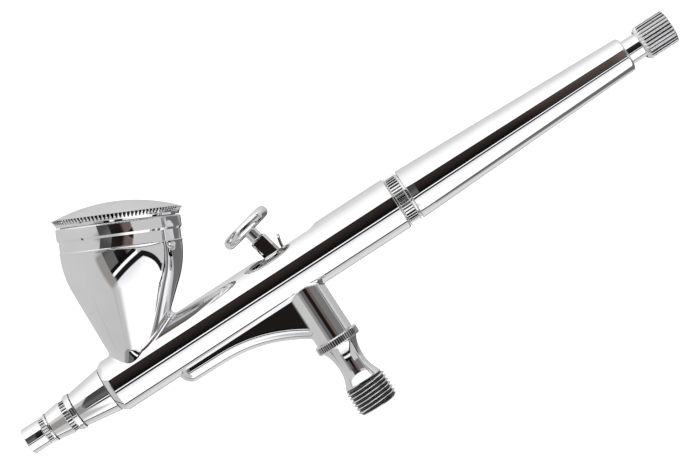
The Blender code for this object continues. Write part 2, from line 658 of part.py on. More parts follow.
# ---- trigger ------------------------------------------------------------------------------------
def make_trigger():
    neck_r, spigot_r, under = 1.5, 1.2, BUTTON_H - BUTTON_HALF
    blade = [
        *arc((0, 0), PRONG_R, 180, 360, 8),
        (PRONG_R, 4.6),
        (BLADE_HALF, 6.2),
        (BLADE_HALF, BLADE_TOP - 0.3),
        (BLADE_HALF - 0.3, BLADE_TOP),
        (0.3 - BLADE_HALF, BLADE_TOP),
        (-BLADE_HALF, BLADE_TOP - 0.3),
        (-BLADE_HALF, 6.2),
        (-PRONG_R, 4.6),
    ]
    stem = piece("trigger_stem", slab(blade, PRONG_HALF), ON_TRIGGER, "chrome")
    neck = [
        (BLADE_TOP - LEAD, 0),
        (BLADE_TOP - LEAD, neck_r),
        (under - GAP, neck_r),
        (under - GAP, spigot_r),
        (BUTTON_H - 2 * GAP, spigot_r),
        (BUTTON_H - 2 * GAP, 0),
    ]
    boolean(stem, "UNION", piece("stem_neck", turned(neck, SMALL_SIDES), ON_TRIGGER))
    fork = box((-3, -FORK_HALF, -3), (3, FORK_HALF, 5.2))
    hole = slab(list(arc((0, 0), PIN_R + 0.05, 0, 330, 11)), 3)
    boolean(
        stem,
        "DIFFERENCE",
        piece("fork_gap", fork, ON_TRIGGER),
        piece("stem_pin_hole", hole, ON_TRIGGER),
    )

    dish_r = BUTTON_R - BUTTON_HALF
    button = [
        (BUTTON_H, 0),
        (BUTTON_H, spigot_r + FIT),
        (under, spigot_r + FIT),
        *((BUTTON_H + up, dish_r + out) for out, up in arc((0, 0), BUTTON_HALF, -90, 90, 6)),
        (BUTTON_H + BUTTON_HALF - 0.45 * DISH, dish_r * 0.72),
        (BUTTON_H + BUTTON_HALF - 0.88 * DISH, dish_r * 0.36),
        (BUTTON_H + BUTTON_HALF - DISH, 0),
    ]
    piece("finger_button", turned(button, SIDES - 4), ON_TRIGGER, "chrome")

    foot_r, foot_end, shoulder, tongue_r = FOOT_GUIDE_R - GAP, FOOT_END - PIVOT_Z, -1.6, 0.85
    outline = [
        (foot_end, 0),
        (foot_end, foot_r - 0.5),
        (foot_end + 0.5, foot_r),
        (shoulder, foot_r),
        (shoulder, 0),
    ]
    foot = piece("trigger_foot", turned(outline, SMALL_SIDES), AT_PIVOT, "steel")
    tongue = [(tongue_r, shoulder - 1), *arc((0, 0), tongue_r, 0, 180, 8), (-tongue_r, shoulder - 1)]
    boolean(foot, "UNION", piece("foot_tongue", slab(tongue, FORK_HALF - 0.2), AT_PIVOT))
    hole = slab(list(arc((0, 0), PIN_R + 0.05, 0, 330, 11)), 3)
    boolean(foot, "DIFFERENCE", piece("foot_pin_hole", hole, AT_PIVOT))
    pin = slab(list(arc((0, 0), PIN_R - 0.02, 0, 330, 11)), PIN_HALF)
    piece("trigger_pin", pin, AT_PIVOT, "steel")


def make_auxiliary_lever():
    """A bent strip: a rolled foot on the chamber's floor, then up behind the stem to a round tip."""
    spine = [(0, 0), (-1.2, 0), (-1.8, 0.25), (-2.15, 1.2), (-2.3, 4.0), (-2.75, 9.0), (-2.5, 11.0)]
    spine += [(-2.3, 11.7), (-2.15, 12.2)]
    halves = [LEVER_HALF] * 7 + [0.75 * LEVER_HALF, 0.3 * LEVER_HALF]
    sections = []
    for n, (x, z) in enumerate(spine):
        before, after = spine[max(n - 1, 0)], spine[min(n + 1, len(spine) - 1)]
        run, rise = after[0] - before[0], after[1] - before[1]
        out_x, out_z = -rise * LEVER_THIN / math.hypot(run, rise), run * LEVER_THIN / math.hypot(run, rise)
        half = halves[n]
        sections.append(
            [(x + s * out_x, t * half, z + s * out_z) for s, t in ((1, 1), (1, -1), (-1, -1), (-1, 1))]
        )
    lever = piece("auxiliary_lever", loft(sections), AT_LEVER, "steel")
    roll = slab(list(arc((0, 0), 0.45, 0, 330, 11)), LEVER_HALF)
    boolean(lever, "UNION", piece("lever_roll", roll, AT_LEVER))
    needle_way = box((-4, -FORK_HALF, 1.5), (0, FORK_HALF, 4.8))
    boolean(lever, "DIFFERENCE", piece("lever_slot", needle_way, AT_LEVER))


# ---- air valve ----------------------------------------------------------------------------------
def make_valve():
    spigot_end, chamber_r, chamber_top, way_r = 22.2, 2.35, 16.2, 1.25
    ring_top, ring_low, ring_r = HOUSING_END - GAP, 16.2, 5.25
    waist = [(15.9, 4.15), (14.3, 3.5), (11.1, 3.15), (8.9, 3.45), (6.8, 4.4)]
    crests = [
        point
        for n in range(6)
        for point in (
            (6.25 - n * PITCH, HOSE_THREAD_R - THREAD_DEPTH),
            (5.9 - n * PITCH, HOSE_THREAD_R),
        )
    ]
    outline = [
        (spigot_end, way_r),
        (spigot_end, VALVE_BORE_R - GAP),
        (ring_top, VALVE_BORE_R - GAP),
        (ring_top, ring_r - 0.45),
        (ring_top - 0.45, ring_r),
        (ring_low + 0.45, ring_r),
        (ring_low, ring_r - 0.45),
        *waist,
        (6.6, 4.4),
        *crests,
        (1.0, HOSE_THREAD_R - 0.35),
        (0, 3.9),
        (0, chamber_r + 0.2),
        (0.3, chamber_r),
        (chamber_top, chamber_r),
        (chamber_top, way_r),
    ]
    flutes = (ring_low + 0.4, ring_top - 0.4, ring_r - 0.05, KNURL_DEPTH)
    piece("valve_body", turned(outline, SIDES - 4, True, flutes), ON_VALVE, "chrome")

    gasket = tube(spigot_end + 0.1, VALVE_BORE_TOP - 0.1, 2.4, VALVE_BORE_R - GAP)
    piece("valve_gasket", gasket, ON_VALVE, "ptfe")

    stem_end, stem_r = FOOT_END - 0.2, 0.85
    head_r, head_top, head_low, tail_r, tail_end = 1.8, 15.2, 14.2, 0.9, 10.0
    outline = [
        (stem_end, 0),
        (stem_end, stem_r - 0.2),
        (stem_end - 0.2, stem_r),
        (head_top, stem_r),
        (head_top, head_r),
        (head_low, head_r),
        (head_low, tail_r),
        (tail_end, tail_r),
        (tail_end, 0),
    ]
    piece("valve_plunger", turned(outline, SMALL_SIDES), ON_VALVE, "brass")
    piece("plunger_o_ring", o_ring(head_top + 0.47, 1.37, 0.4), ON_VALVE, "rubber")
    wire, screw_low, screw_top = 0.22, 1.2, 4.4
    coil(
        "valve_spring",
        ON_VALVE,
        screw_top + wire + GAP,
        head_low - wire - GAP,
        radius=1.6,
        wire=wire,
        turns=6,
        metal="spring_steel",
    )
    screw_mesh = tube(screw_low, screw_top, 1.0, chamber_r - FIT)
    screw = piece("valve_screw", screw_mesh, ON_VALVE, "brass")
    driver = box((-0.3, -3, screw_low - LEAD), (0.3, 3, screw_low + 0.7))
    boolean(screw, "DIFFERENCE", piece("valve_screw_slot", driver, placing()))


def main():
    for obj in list(bpy.data.objects):
        bpy.data.objects.remove(obj)
    make_body()
    make_cup()
    make_lid()
    make_head()
    make_needle_line()
    make_rear()
    make_trigger()
    make_auxiliary_lever()
    make_valve()


main()
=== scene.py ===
"""Looks of the dual-action airbrush: chrome-plated brass in a white studio.

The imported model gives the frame: +X along the barrel towards the handle, +Z up the air valve. Every
length below is in millimetres, and each mesh is scaled to metres as it is made.
"""

import json
import math

import bmesh
import bpy
import numpy as np
from mathutils import Matrix, Vector


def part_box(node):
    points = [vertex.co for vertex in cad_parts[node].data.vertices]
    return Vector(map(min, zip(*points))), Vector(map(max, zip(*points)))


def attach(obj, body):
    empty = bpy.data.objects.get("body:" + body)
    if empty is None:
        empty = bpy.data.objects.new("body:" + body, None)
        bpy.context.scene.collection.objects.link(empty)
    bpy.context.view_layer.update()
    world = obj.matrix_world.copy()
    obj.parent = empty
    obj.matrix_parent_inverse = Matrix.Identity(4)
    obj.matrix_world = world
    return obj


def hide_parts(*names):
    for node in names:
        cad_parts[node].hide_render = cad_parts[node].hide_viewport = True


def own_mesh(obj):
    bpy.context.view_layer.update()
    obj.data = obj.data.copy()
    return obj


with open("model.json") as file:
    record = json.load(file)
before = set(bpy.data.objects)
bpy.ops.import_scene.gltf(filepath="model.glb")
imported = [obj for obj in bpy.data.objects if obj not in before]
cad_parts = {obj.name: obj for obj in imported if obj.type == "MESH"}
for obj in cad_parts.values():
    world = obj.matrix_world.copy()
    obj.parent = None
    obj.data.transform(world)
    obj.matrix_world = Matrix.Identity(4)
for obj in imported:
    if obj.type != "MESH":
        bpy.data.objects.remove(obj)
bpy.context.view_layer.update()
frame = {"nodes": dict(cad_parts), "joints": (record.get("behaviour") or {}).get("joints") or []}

MM = 0.001
NODES = frame["nodes"]
JOINTS = {joint["name"]: joint for joint in frame["joints"]}


# ---- places read from the frame ----
def span(node):
    """A CAD node's lowest and highest corners, in millimetres."""
    low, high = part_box(node)
    return low / MM, high / MM


def along_barrel(node):
    """Front, rear and greatest radius of a piece that is turned about the barrel axis."""
    low, high = span(node)
    return low.x, high.x, (high.z - low.z) / 2


BODY_LOW, BODY_HIGH = span("body")
HANDLE_LOW, HANDLE_HIGH = span("handle")
AXIS_Z = (HANDLE_LOW.z + HANDLE_HIGH.z) / 2
BARREL_R = BODY_HIGH.z - AXIS_Z
BARREL_FRONT, BARREL_REAR, HOUSING_END = BODY_LOW.x, BODY_HIGH.x, BODY_LOW.z
LID_AXIS = JOINTS["lid_lift"]["axis"]
CUP_TILT = math.atan2(LID_AXIS[0], LID_AXIS[2])
PIVOT = Vector(JOINTS["trigger_pull"]["pos_m"]) / MM
LEVER_FOOT = Vector(JOINTS["lever_rock"]["pos_m"]) / MM

# ---- driving dimensions that the frame doesn't state ----
NOSE_R, NOSE_BEVEL = 5.45, 1.3  # the barrel's front face, inside its bevel
CHAMBER_R, CHAMBER_FRONT, HEAD_BORE_R, REAR_BORE_R = 4.75, -8.0, 3.7, 5.3
SLOT_FRONT, SLOT_REAR, SLOT_HALF = -6.2, 10.0, 2.65
HOUSING_R, VALVE_BORE_R = 4.45, 3.5
ARM_R, ARM_FRONT, ARM_LEVEL = 2.85, -33.5, 26.75
JOINT_FILLET, ARM_FILLET, CUP_FILLET = 0.32, 0.14, 0.9  # brazed joints
LID_X, LID_Z = -25.75, 67.1  # centre of the lid's rim
BOWL_TOP, BOWL_R, BOWL_ARC, BOWL_SLOPE, NECK_R = 7.4, 13.6, 21.7, math.radians(23.3), 5.75
CUP_WALL, MOUTH_R, MOUTH_DEPTH = 0.85, 13.0, 4.6
DRAIN_X, DRAIN_R = -40.6, 1.8  # paint drain from the cup into the barrel
TRIGGER_LEAN = math.radians(-12.5)
THREAD_PITCH, THREAD_DEPTH = 0.907, 0.58

EASE = 0.12  # radius of a machined edge
GAP = 0.15  # left between neighbouring pieces
SIDES = 192


def placing(x=0.0, z=0.0, turn=0.0):
    """World place of a piece's own frame: a point in the mid-plane, and a turn about Y."""
    return Matrix.Translation(Vector((x, 0, z)) * MM) @ Matrix.Rotation(turn, 4, "Y")


ON_BARREL = placing(0, AXIS_Z, math.pi / 2)  # own Z runs along the barrel, towards the handle
ON_VALVE = placing()  # own Z runs up the air valve
ON_CUP = placing(LID_X, LID_Z, CUP_TILT)  # own Z runs up the cup's axis
ON_TRIGGER = placing(PIVOT.x, PIVOT.z, TRIGGER_LEAN)  # own Z runs up the stem from its pin
AT_PIVOT = placing(PIVOT.x, PIVOT.z)
AT_LEVER = placing(LEVER_FOOT.x, LEVER_FOOT.z)


# ---- materials ----
class Nodes:
    """Short calls for building one node tree."""

    def __init__(self, tree):
        self.tree = tree

    def add(self, kind, **settings):
        node = self.tree.nodes.new(kind)
        for name, value in settings.items():
            setattr(node, name, value)
        return node

    def link(self, source, target):
        self.tree.links.new(source, target)

    def feed(self, socket, value):
        if isinstance(value, bpy.types.NodeSocket):
            self.link(value, socket)
        else:
            socket.default_value = value

    def math(self, operation, *values):
        node = self.add("ShaderNodeMath", operation=operation)
        for socket, value in zip(node.inputs, values):
            self.feed(socket, value)
        return node.outputs[0]

    def spread(self, value, low, high, to_low, to_high):
        node = self.add("ShaderNodeMapRange", clamp=True)
        for name, given in zip(("Value", "From Min", "From Max", "To Min", "To Max"),
                               (value, low, high, to_low, to_high)):
            self.feed(node.inputs[name], given)
        return node.outputs[0]

    def mix(self, factor, first, second):
        node = self.add("ShaderNodeMix", data_type="RGBA")
        for index, given in ((0, factor), (6, first), (7, second)):
            self.feed(node.inputs[index], given)
        return node.outputs[2]

    def noise(self, vector, scale, detail=3.0, roughness=0.5):
        node = self.add("ShaderNodeTexNoise")
        self.link(vector, node.inputs["Vector"])
        for name, value in (("Scale", scale), ("Detail", detail), ("Roughness", roughness)):
            node.inputs[name].default_value = value
        return node.outputs["Fac"]

    def stretched(self, vector, scale):
        node = self.add("ShaderNodeMapping")
        self.link(vector, node.inputs["Vector"])
        node.inputs["Scale"].default_value = scale
        return node.outputs[0]

    def bump(self, height, strength, distance, normal=None):
        node = self.add("ShaderNodeBump")
        node.inputs["Strength"].default_value = strength
        node.inputs["Distance"].default_value = distance
        self.link(height, node.inputs["Height"])
        if normal:
            self.link(normal, node.inputs["Normal"])
        return node.outputs[0]


def grey(level, alpha=1.0):
    return (level, level, level, alpha)


def new_material(name):
    material = bpy.data.materials.new(name)
    material.use_nodes = True
    nodes = Nodes(material.node_tree)
    return material, nodes, material.node_tree.nodes["Principled BSDF"]


def plated(name, light, dark, smooth, rough, turned=0.0, ripple=0.12):
    """Polished plating over turned brass.

    The tint drifts between two colours, the gloss between two roughnesses, with faint turning marks
    round the piece's own Z, slow polishing ripples and rougher grooves. Shade is painted into the tint:
    darker in concave corners and grooves, and near black down the cuts of knurls and threads.
    """
    material, nodes, shader = new_material(name)
    place = nodes.add("ShaderNodeTexCoord").outputs["Object"]
    drift = nodes.noise(place, 90.0, 2.0)
    film = nodes.noise(place, 700.0, 4.0, 0.6)
    marks = nodes.noise(nodes.stretched(place, (60.0, 60.0, 14000.0)), 1.0, 2.0)
    edge_wear_and_groove_shade = nodes.add("ShaderNodeNewGeometry").outputs["Pointiness"]

    # painted shade: knurl and thread grooves are tinted near black by how far down its cut each vertex lies
    cut = nodes.add("ShaderNodeAttribute", attribute_name="groove").outputs["Fac"]
    tint = nodes.mix(nodes.spread(drift, 0.35, 0.65, 0.0, 1.0), dark, light)
    tint = nodes.mix(nodes.spread(cut, 0.35, 0.8, 0.0, 1.0), tint, (0.035, 0.034, 0.034, 1))
    # painted shade: concave corners and grooves, found by Pointiness, get a darker tint; the same
    # Pointiness roughens convex edges as wear
    groove = nodes.spread(edge_wear_and_groove_shade, 0.40, 0.49, 1.0, 0.0)
    groove_shaded_tint = nodes.mix(groove, tint, tuple(0.7 * channel for channel in dark[:3]) + (1.0,))
    nodes.link(groove_shaded_tint, shader.inputs["Base Color"])
    shader.inputs["Metallic"].default_value = 1.0

    gloss = nodes.spread(film, 0.3, 0.75, smooth, rough)
    edge = nodes.spread(edge_wear_and_groove_shade, 0.53, 0.62, 0.0, 0.05)
    in_groove = nodes.math("MULTIPLY", groove, 0.06)
    gloss = nodes.math("ADD", nodes.math("ADD", gloss, edge), in_groove)
    nodes.link(gloss, shader.inputs["Roughness"])

    normal = nodes.bump(nodes.noise(place, 220.0, 1.0), ripple, 0.000012)
    if turned:
        normal = nodes.bump(marks, turned, 0.000004, normal)
    nodes.link(normal, shader.inputs["Normal"])
    return material


def plain(name, light, dark, metallic, smooth, rough, scale, relief):
    """Unplated metal, rubber or plastic: mottled colour and gloss over a fine grain."""
    material, nodes, shader = new_material(name)
    place = nodes.add("ShaderNodeTexCoord").outputs["Object"]
    mottle = nodes.noise(place, scale, 5.0, 0.6)
    colour = nodes.mix(nodes.spread(mottle, 0.3, 0.7, 0.0, 1.0), dark, light)
    nodes.link(colour, shader.inputs["Base Color"])
    nodes.link(nodes.spread(mottle, 0.3, 0.7, smooth, rough), shader.inputs["Roughness"])
    shader.inputs["Metallic"].default_value = metallic
    marks = nodes.noise(nodes.stretched(place, (90.0, 90.0, 9000.0)), 1.0, 2.0)
    normal = nodes.bump(marks, relief, 0.00001)
    nodes.link(normal, shader.inputs["Normal"])
    return material


MATERIALS = {
    "chrome": plated("chrome_plate", (0.87, 0.87, 0.88, 1), (0.82, 0.82, 0.83, 1), 0.015, 0.045),
    "turned_chrome": plated(
        "turned_chrome_plate", (0.87, 0.87, 0.88, 1), (0.81, 0.81, 0.82, 1), 0.03, 0.08, turned=0.12
    ),
    "bright_chrome": plated(
        "bright_chrome_plate", (0.90, 0.90, 0.91, 1), (0.85, 0.85, 0.86, 1), 0.02, 0.05, turned=0.08
    ),
    "nickel": plated("nickel_plate", (0.74, 0.72, 0.68, 1), (0.68, 0.65, 0.60, 1), 0.12, 0.24, turned=0.4),
    "brass": plain("turned_brass", (0.84, 0.66, 0.34, 1), (0.74, 0.54, 0.24, 1), 1.0, 0.18, 0.34, 420, 0.5),
    "steel": plain("ground_steel", (0.66, 0.66, 0.67, 1), (0.56, 0.56, 0.57, 1), 1.0, 0.14, 0.28, 380, 0.4),
    "spring_steel": plain(
        "drawn_wire", (0.54, 0.54, 0.56, 1), (0.40, 0.40, 0.43, 1), 1.0, 0.22, 0.38, 800, 0.3
    ),
    "ptfe": plain("white_ptfe", (0.90, 0.90, 0.88, 1), (0.83, 0.83, 0.80, 1), 0.0, 0.38, 0.52, 500, 0.3),
    "rubber": plain(
        "nitrile_rubber", (0.030, 0.030, 0.030, 1), (0.014, 0.014, 0.014, 1), 0.0, 0.42, 0.62, 900, 0.5
    ),
}


# ---- outlines ----
def arc(centre, radius, start, end, steps=12):
    """Points of an arc in an outline's (height, radius) plane, between two angles in degrees."""
    for n in range(steps + 1):
        angle = math.radians(start + (end - start) * n / steps)
        yield centre[0] + radius * math.cos(angle), centre[1] + radius * math.sin(angle)


def eased(points, radius=EASE, closed=True, steps=4):
    """The outline with each corner sharper than about 12 degrees turned into a small arc."""
    points = [Vector(point) for point in points]
    count = len(points)
    made = []
    for n, corner in enumerate(points):
        if not closed and n in (0, count - 1):
            made.append(corner)
            continue
        before, after = points[n - 1] - corner, points[(n + 1) % count] - corner
        turn = math.pi - before.angle(after)
        if turn < 0.2:
            made.append(corner)
            continue
        reach = min(radius * math.tan(turn / 2), 0.45 * before.length, 0.45 * after.length)
        start, end = corner + before.normalized() * reach, corner + after.normalized() * reach
        for step in range(steps + 1):
            share = step / steps
            made.append(
                start * (1 - share) ** 2 + corner * 2 * share * (1 - share) + end * share**2
            )
    return [(point.x, point.y) for point in made]


def closer(points, most, low=-math.inf, high=math.inf):
    """The outline with extra points, so that no step between those heights is longer than most."""
    made = []
    for first, second in zip(points, points[1:]):
        made.append(first)
        if min(first[0], second[0]) >= low and max(first[0], second[0]) <= high:
            steps = math.ceil(math.dist(first, second) / most)
            for step in range(1, steps):
                made.append(tuple(a + (b - a) * step / steps for a, b in zip(first, second)))
    made.append(points[-1])
    return made


def ribbed(crest, depth, count, low=-math.inf, high=math.inf, sharp=1.0):
    """A knurl's cut: the greatest radius at each height and angle, with count straight grooves."""

    def cut(height, angle):
        groove = (0.5 + 0.5 * np.cos(count * angle)) ** sharp
        ribs = crest - depth * groove
        return np.where((height > low) & (height < high), ribs, np.inf)

    return cut


# ---- meshes ----
def finished(name, mesh, place, material, body, node, angle=35):
    """An object from a bmesh or a mesh, riding on a body in place of its CAD node."""
    if isinstance(mesh, bmesh.types.BMesh):
        data = bpy.data.meshes.new(name)
        bmesh.ops.recalc_face_normals(mesh, faces=mesh.faces)
        mesh.to_mesh(data)
        mesh.free()
    else:
        data = mesh
    data.shade_smooth()
    if angle:
        data.set_sharp_from_angle(angle=math.radians(angle))
    obj = bpy.data.objects.new(name, data)
    obj.matrix_world = place
    bpy.context.scene.collection.objects.link(obj)
    if material:
        data.materials.append(MATERIALS[material])
    if body:
        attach(obj, body)
        if node:
            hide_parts(node)
    return obj


def grid_verts(points, sunk=None):
    """A new bmesh with a grid of vertices, and how far down a groove each of them lies."""
    mesh = bmesh.new()
    # how far down a groove each vertex lies, which the plated materials use to paint shade into grooves
    layer = mesh.verts.layers.float.new("groove")
    verts = [mesh.verts.new(point) for point in points.reshape(-1, 3)]
    if sunk is not None:
        for vert, share in zip(verts, sunk.reshape(-1)):
            vert[layer] = share
    return mesh, verts


def sheet_of(rows, closed_rows, sunk=None):
    """A bmesh from a grid of points: rows of rings, each ring closed on itself."""
    count, around = rows.shape[:2]
    mesh, verts = grid_verts(rows, sunk)
    last = count if closed_rows else count - 1
    for n in range(last):
        first, second = n * around, (n + 1) % count * around
        for k in range(around):
            after = (k + 1) % around
            corners = (first + k, first + after, second + after, second + k)
            mesh.faces.new([verts[corner] for corner in corners])
    bmesh.ops.remove_doubles(mesh, verts=mesh.verts, dist=1e-7)
    return mesh


def turned(outline, sides=SIDES, ring=True, cut=None, depth=1.0):
    """A bmesh turned about its own Z from (height, radius) points, with an optional cut into it.

    Each vertex keeps how far down the cut it lies, as a share of the given depth.
    """
    height, radius = (np.array(values)[:, None] for values in zip(*outline))
    angle = np.arange(sides)[None, :] * 2 * math.pi / sides
    radius = np.broadcast_to(radius, (len(outline), sides))
    sunk = np.zeros_like(radius)
    if cut:
        deep = np.minimum(radius, cut(height, angle))
        sunk = np.clip((radius - deep) / depth, 0, 1)
        radius = deep
    grid = np.stack([radius * np.cos(angle), radius * np.sin(angle), height + 0 * radius], axis=2)
    return sheet_of(grid * MM, ring, sunk)


def solid_turned(name, outline, place, material, body, slot, node=None, **options):
    return finished(name, turned(outline, **options), place, material, body, node or name)


def helper(name, mesh, place=None):
    """A cutter or a blank, which is removed once it has been used."""
    return finished(name, mesh, place or Matrix.Identity(4), None, None, None)


def carve(obj, steps, solver="MANIFOLD"):
    """Applies a list of (operation, helper object) to an object, and removes the helpers."""
    for operation, other in steps:
        modifier = obj.modifiers.new(operation.lower(), "BOOLEAN")
        modifier.operation = operation
        modifier.solver = solver
        modifier.object = other
    bpy.context.view_layer.update()
    evaluated = obj.evaluated_get(bpy.context.evaluated_depsgraph_get())
    made = bpy.data.meshes.new_from_object(evaluated)
    obj.modifiers.clear()
    kept = list(obj.data.materials)
    made.materials.clear()
    for material in kept:
        made.materials.append(material)
    obj.data = made
    for _, other in steps:
        bpy.data.objects.remove(other)
    return made


def filled(mesh):
    """The bmesh with a face across each of its open ends."""
    bmesh.ops.holes_fill(mesh, edges=[edge for edge in mesh.edges if edge.is_boundary])
    return mesh


def dress(obj, material, body, node, angle=30):
    """Shades and finishes a carved object, which rides on a body in place of its CAD node."""
    obj.data.shade_smooth()
    obj.data.set_sharp_from_angle(angle=math.radians(angle))
    obj.data.materials.append(MATERIALS[material])
    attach(obj, body)
    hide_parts(node)


def refine(data, longest, rounds=6):
    """Splits a mesh's long edges, so that no shading runs along a sliver from one end to the other."""
    mesh = bmesh.new()
    mesh.from_mesh(data)
    for _ in range(rounds):
        bmesh.ops.triangulate(mesh, faces=mesh.faces)
        long = [edge for edge in mesh.edges if edge.calc_length() > longest * MM]
        if not long:
            break
        bmesh.ops.subdivide_edges(mesh, edges=long, cuts=1)
    bmesh.ops.triangulate(mesh, faces=mesh.faces)
    mesh.to_mesh(data)
    mesh.free()


def prism(outline, half, ease=0.0):
    """A closed XZ outline extruded across Y by half a width each way, with eased side edges."""
    mesh = bmesh.new()
    face = mesh.faces.new([mesh.verts.new((x * MM, -half * MM, z * MM)) for x, z in outline])
    grown = bmesh.ops.extrude_face_region(mesh, geom=[face])["geom"]
    moved = [item for item in grown if isinstance(item, bmesh.types.BMVert)]
    bmesh.ops.translate(mesh, verts=moved, vec=(0, 2 * half * MM, 0))
    if ease:
        rims = [edge for edge in mesh.edges if abs(edge.verts[0].co.y - edge.verts[1].co.y) < 1e-9]
        bmesh.ops.bevel(
            mesh, geom=rims, offset=ease * MM, segments=3, profile=0.5, affect="EDGES", clamp_overlap=True
        )
    return mesh


def block(low, high):
    centre, size = (Vector(low) + Vector(high)) / 2, Vector(high) - Vector(low)
    mesh = bmesh.new()
    bmesh.ops.create_cube(mesh, size=1, matrix=Matrix.LocRotScale(centre * MM, None, size * MM))
    return mesh


# ---- body: barrel, air arm and valve housing, blended at their brazed joints ----
def arm_edge(x):
    """Height of the arm's lower edge: nearly level in front, then falling to the valve housing."""
    fall = np.maximum(0.0, x + 24.0)
    return np.maximum(HOUSING_END + 1.4, ARM_LEVEL - 0.018 * (x - ARM_FRONT) - 0.0084 * fall**2.2)


def blended(first, second, radius):
    """Union of two distances with a rolling-ball fillet."""
    bite = np.hypot(np.maximum(radius - first, 0), np.maximum(radius - second, 0))
    return np.maximum(radius, np.minimum(first, second)) - bite


def body_distance(x, y, z):
    barrel = np.hypot(y, z - AXIS_Z) - BARREL_R
    housing = np.maximum(np.hypot(x, y) - HOUSING_R, z - AXIS_Z)
    slope = (arm_edge(x + 0.3) - arm_edge(x - 0.3)) / 0.6
    rise = np.sqrt(1 + slope**2)
    below = (arm_edge(x) + ARM_R * rise - z) / rise
    ahead = ARM_FRONT + ARM_R - x
    sheet = np.hypot(np.maximum(below, 0), np.maximum(ahead, 0))
    arm = np.maximum.reduce([np.hypot(y, sheet) - ARM_R, z - AXIS_Z, x])
    return blended(blended(arm, barrel, ARM_FILLET), housing, JOINT_FILLET)


def gradient(distance, points, step=0.01):
    """Unit gradient of a distance function, and the distance, at an array of points."""
    steps = np.eye(3) * step
    slope = np.stack(
        [(distance(*(points + s).T) - distance(*(points - s).T)) / (2 * step) for s in steps], axis=1
    )
    return slope / np.linalg.norm(slope, axis=1, keepdims=True), distance(*points.T)


def skin(distance, xs, ys, zs, rounds=8):
    """A closed quad mesh of the surface where the distance is zero.

    Each grid cell that the surface crosses gives a point, which is evened out among its neighbours
    and drawn onto the surface.
    """
    inside = distance(*np.meshgrid(xs, ys, zs, indexing="ij")) < 0
    count = sum(
        inside[i : i - 1 or None, j : j - 1 or None, k : k - 1 or None].astype(int)
        for i in (0, 1) for j in (0, 1) for k in (0, 1)
    )
    crossed = (count > 0) & (count < 8)
    number = np.full(crossed.shape, -1)
    number[crossed] = np.arange(crossed.sum())
    at = np.argwhere(crossed)
    points = np.stack([(line[at[:, n]] + line[at[:, n] + 1]) / 2 for n, line in enumerate((xs, ys, zs))], 1)

    quads = []
    for axis in range(3):
        one, two = (axis + 1) % 3, (axis + 2) % 3
        low = np.take(inside, range(inside.shape[axis] - 1), axis)
        high = np.take(inside, range(1, inside.shape[axis]), axis)
        for start, flip in ((low & ~high, False), (~low & high, True)):
            edge = np.argwhere(start)
            corners = []
            for back_one, back_two in ((1, 1), (0, 1), (0, 0), (1, 0)):
                cell = edge.copy()
                cell[:, one] -= back_one
                cell[:, two] -= back_two
                corners.append(number[tuple(cell.T)])
            quads.append(np.stack(corners[::-1] if flip else corners, 1))
    quads = np.concatenate(quads)

    ends = np.concatenate([quads[:, [n, (n + 1) % 4]] for n in range(4)])
    for turn in range(rounds):
        if turn:
            total = np.zeros_like(points)
            np.add.at(total, ends[:, 0], points[ends[:, 1]])
            points = total / np.bincount(ends[:, 0], minlength=len(points))[:, None]
        for _ in range(3):
            slope, off = gradient(distance, points)
            points = points - slope * off[:, None]
    mesh = bpy.data.meshes.new("skin")
    mesh.from_pydata((points * MM).tolist(), [], quads.tolist())
    return mesh


def true_normals(mesh, distance):
    """Shades the faces that lie on a distance function's surface with that surface's own normals."""
    points = np.empty(len(mesh.vertices) * 3)
    mesh.vertices.foreach_get("co", points)
    slope, off = gradient(distance, points.reshape(-1, 3) / MM)
    corners = np.empty(len(mesh.loops) * 3)
    mesh.corner_normals.foreach_get("vector", corners)
    corners = corners.reshape(-1, 3)
    faces = np.empty(len(mesh.polygons) * 3)
    mesh.polygons.foreach_get("normal", faces)
    sizes = np.empty(len(mesh.polygons), int)
    mesh.polygons.foreach_get("loop_total", sizes)
    faces = np.repeat(faces.reshape(-1, 3), sizes, axis=0)
    vertex = np.empty(len(mesh.loops), int)
    mesh.loops.foreach_get("vertex_index", vertex)
    smooth = (np.abs(off[vertex]) < 0.02) & ((faces * slope[vertex]).sum(1) > 0.9)
    corners[smooth] = slope[vertex[smooth]]
    mesh.normals_split_custom_set(corners.tolist())


def lines(*stretches):
    """Grid lines from (start, end, spacing) stretches."""
    made = [np.linspace(a, b, max(2, round((b - a) / step) + 1))[:-1] for a, b, step in stretches]
    return np.concatenate([*made, [stretches[-1][1]]])


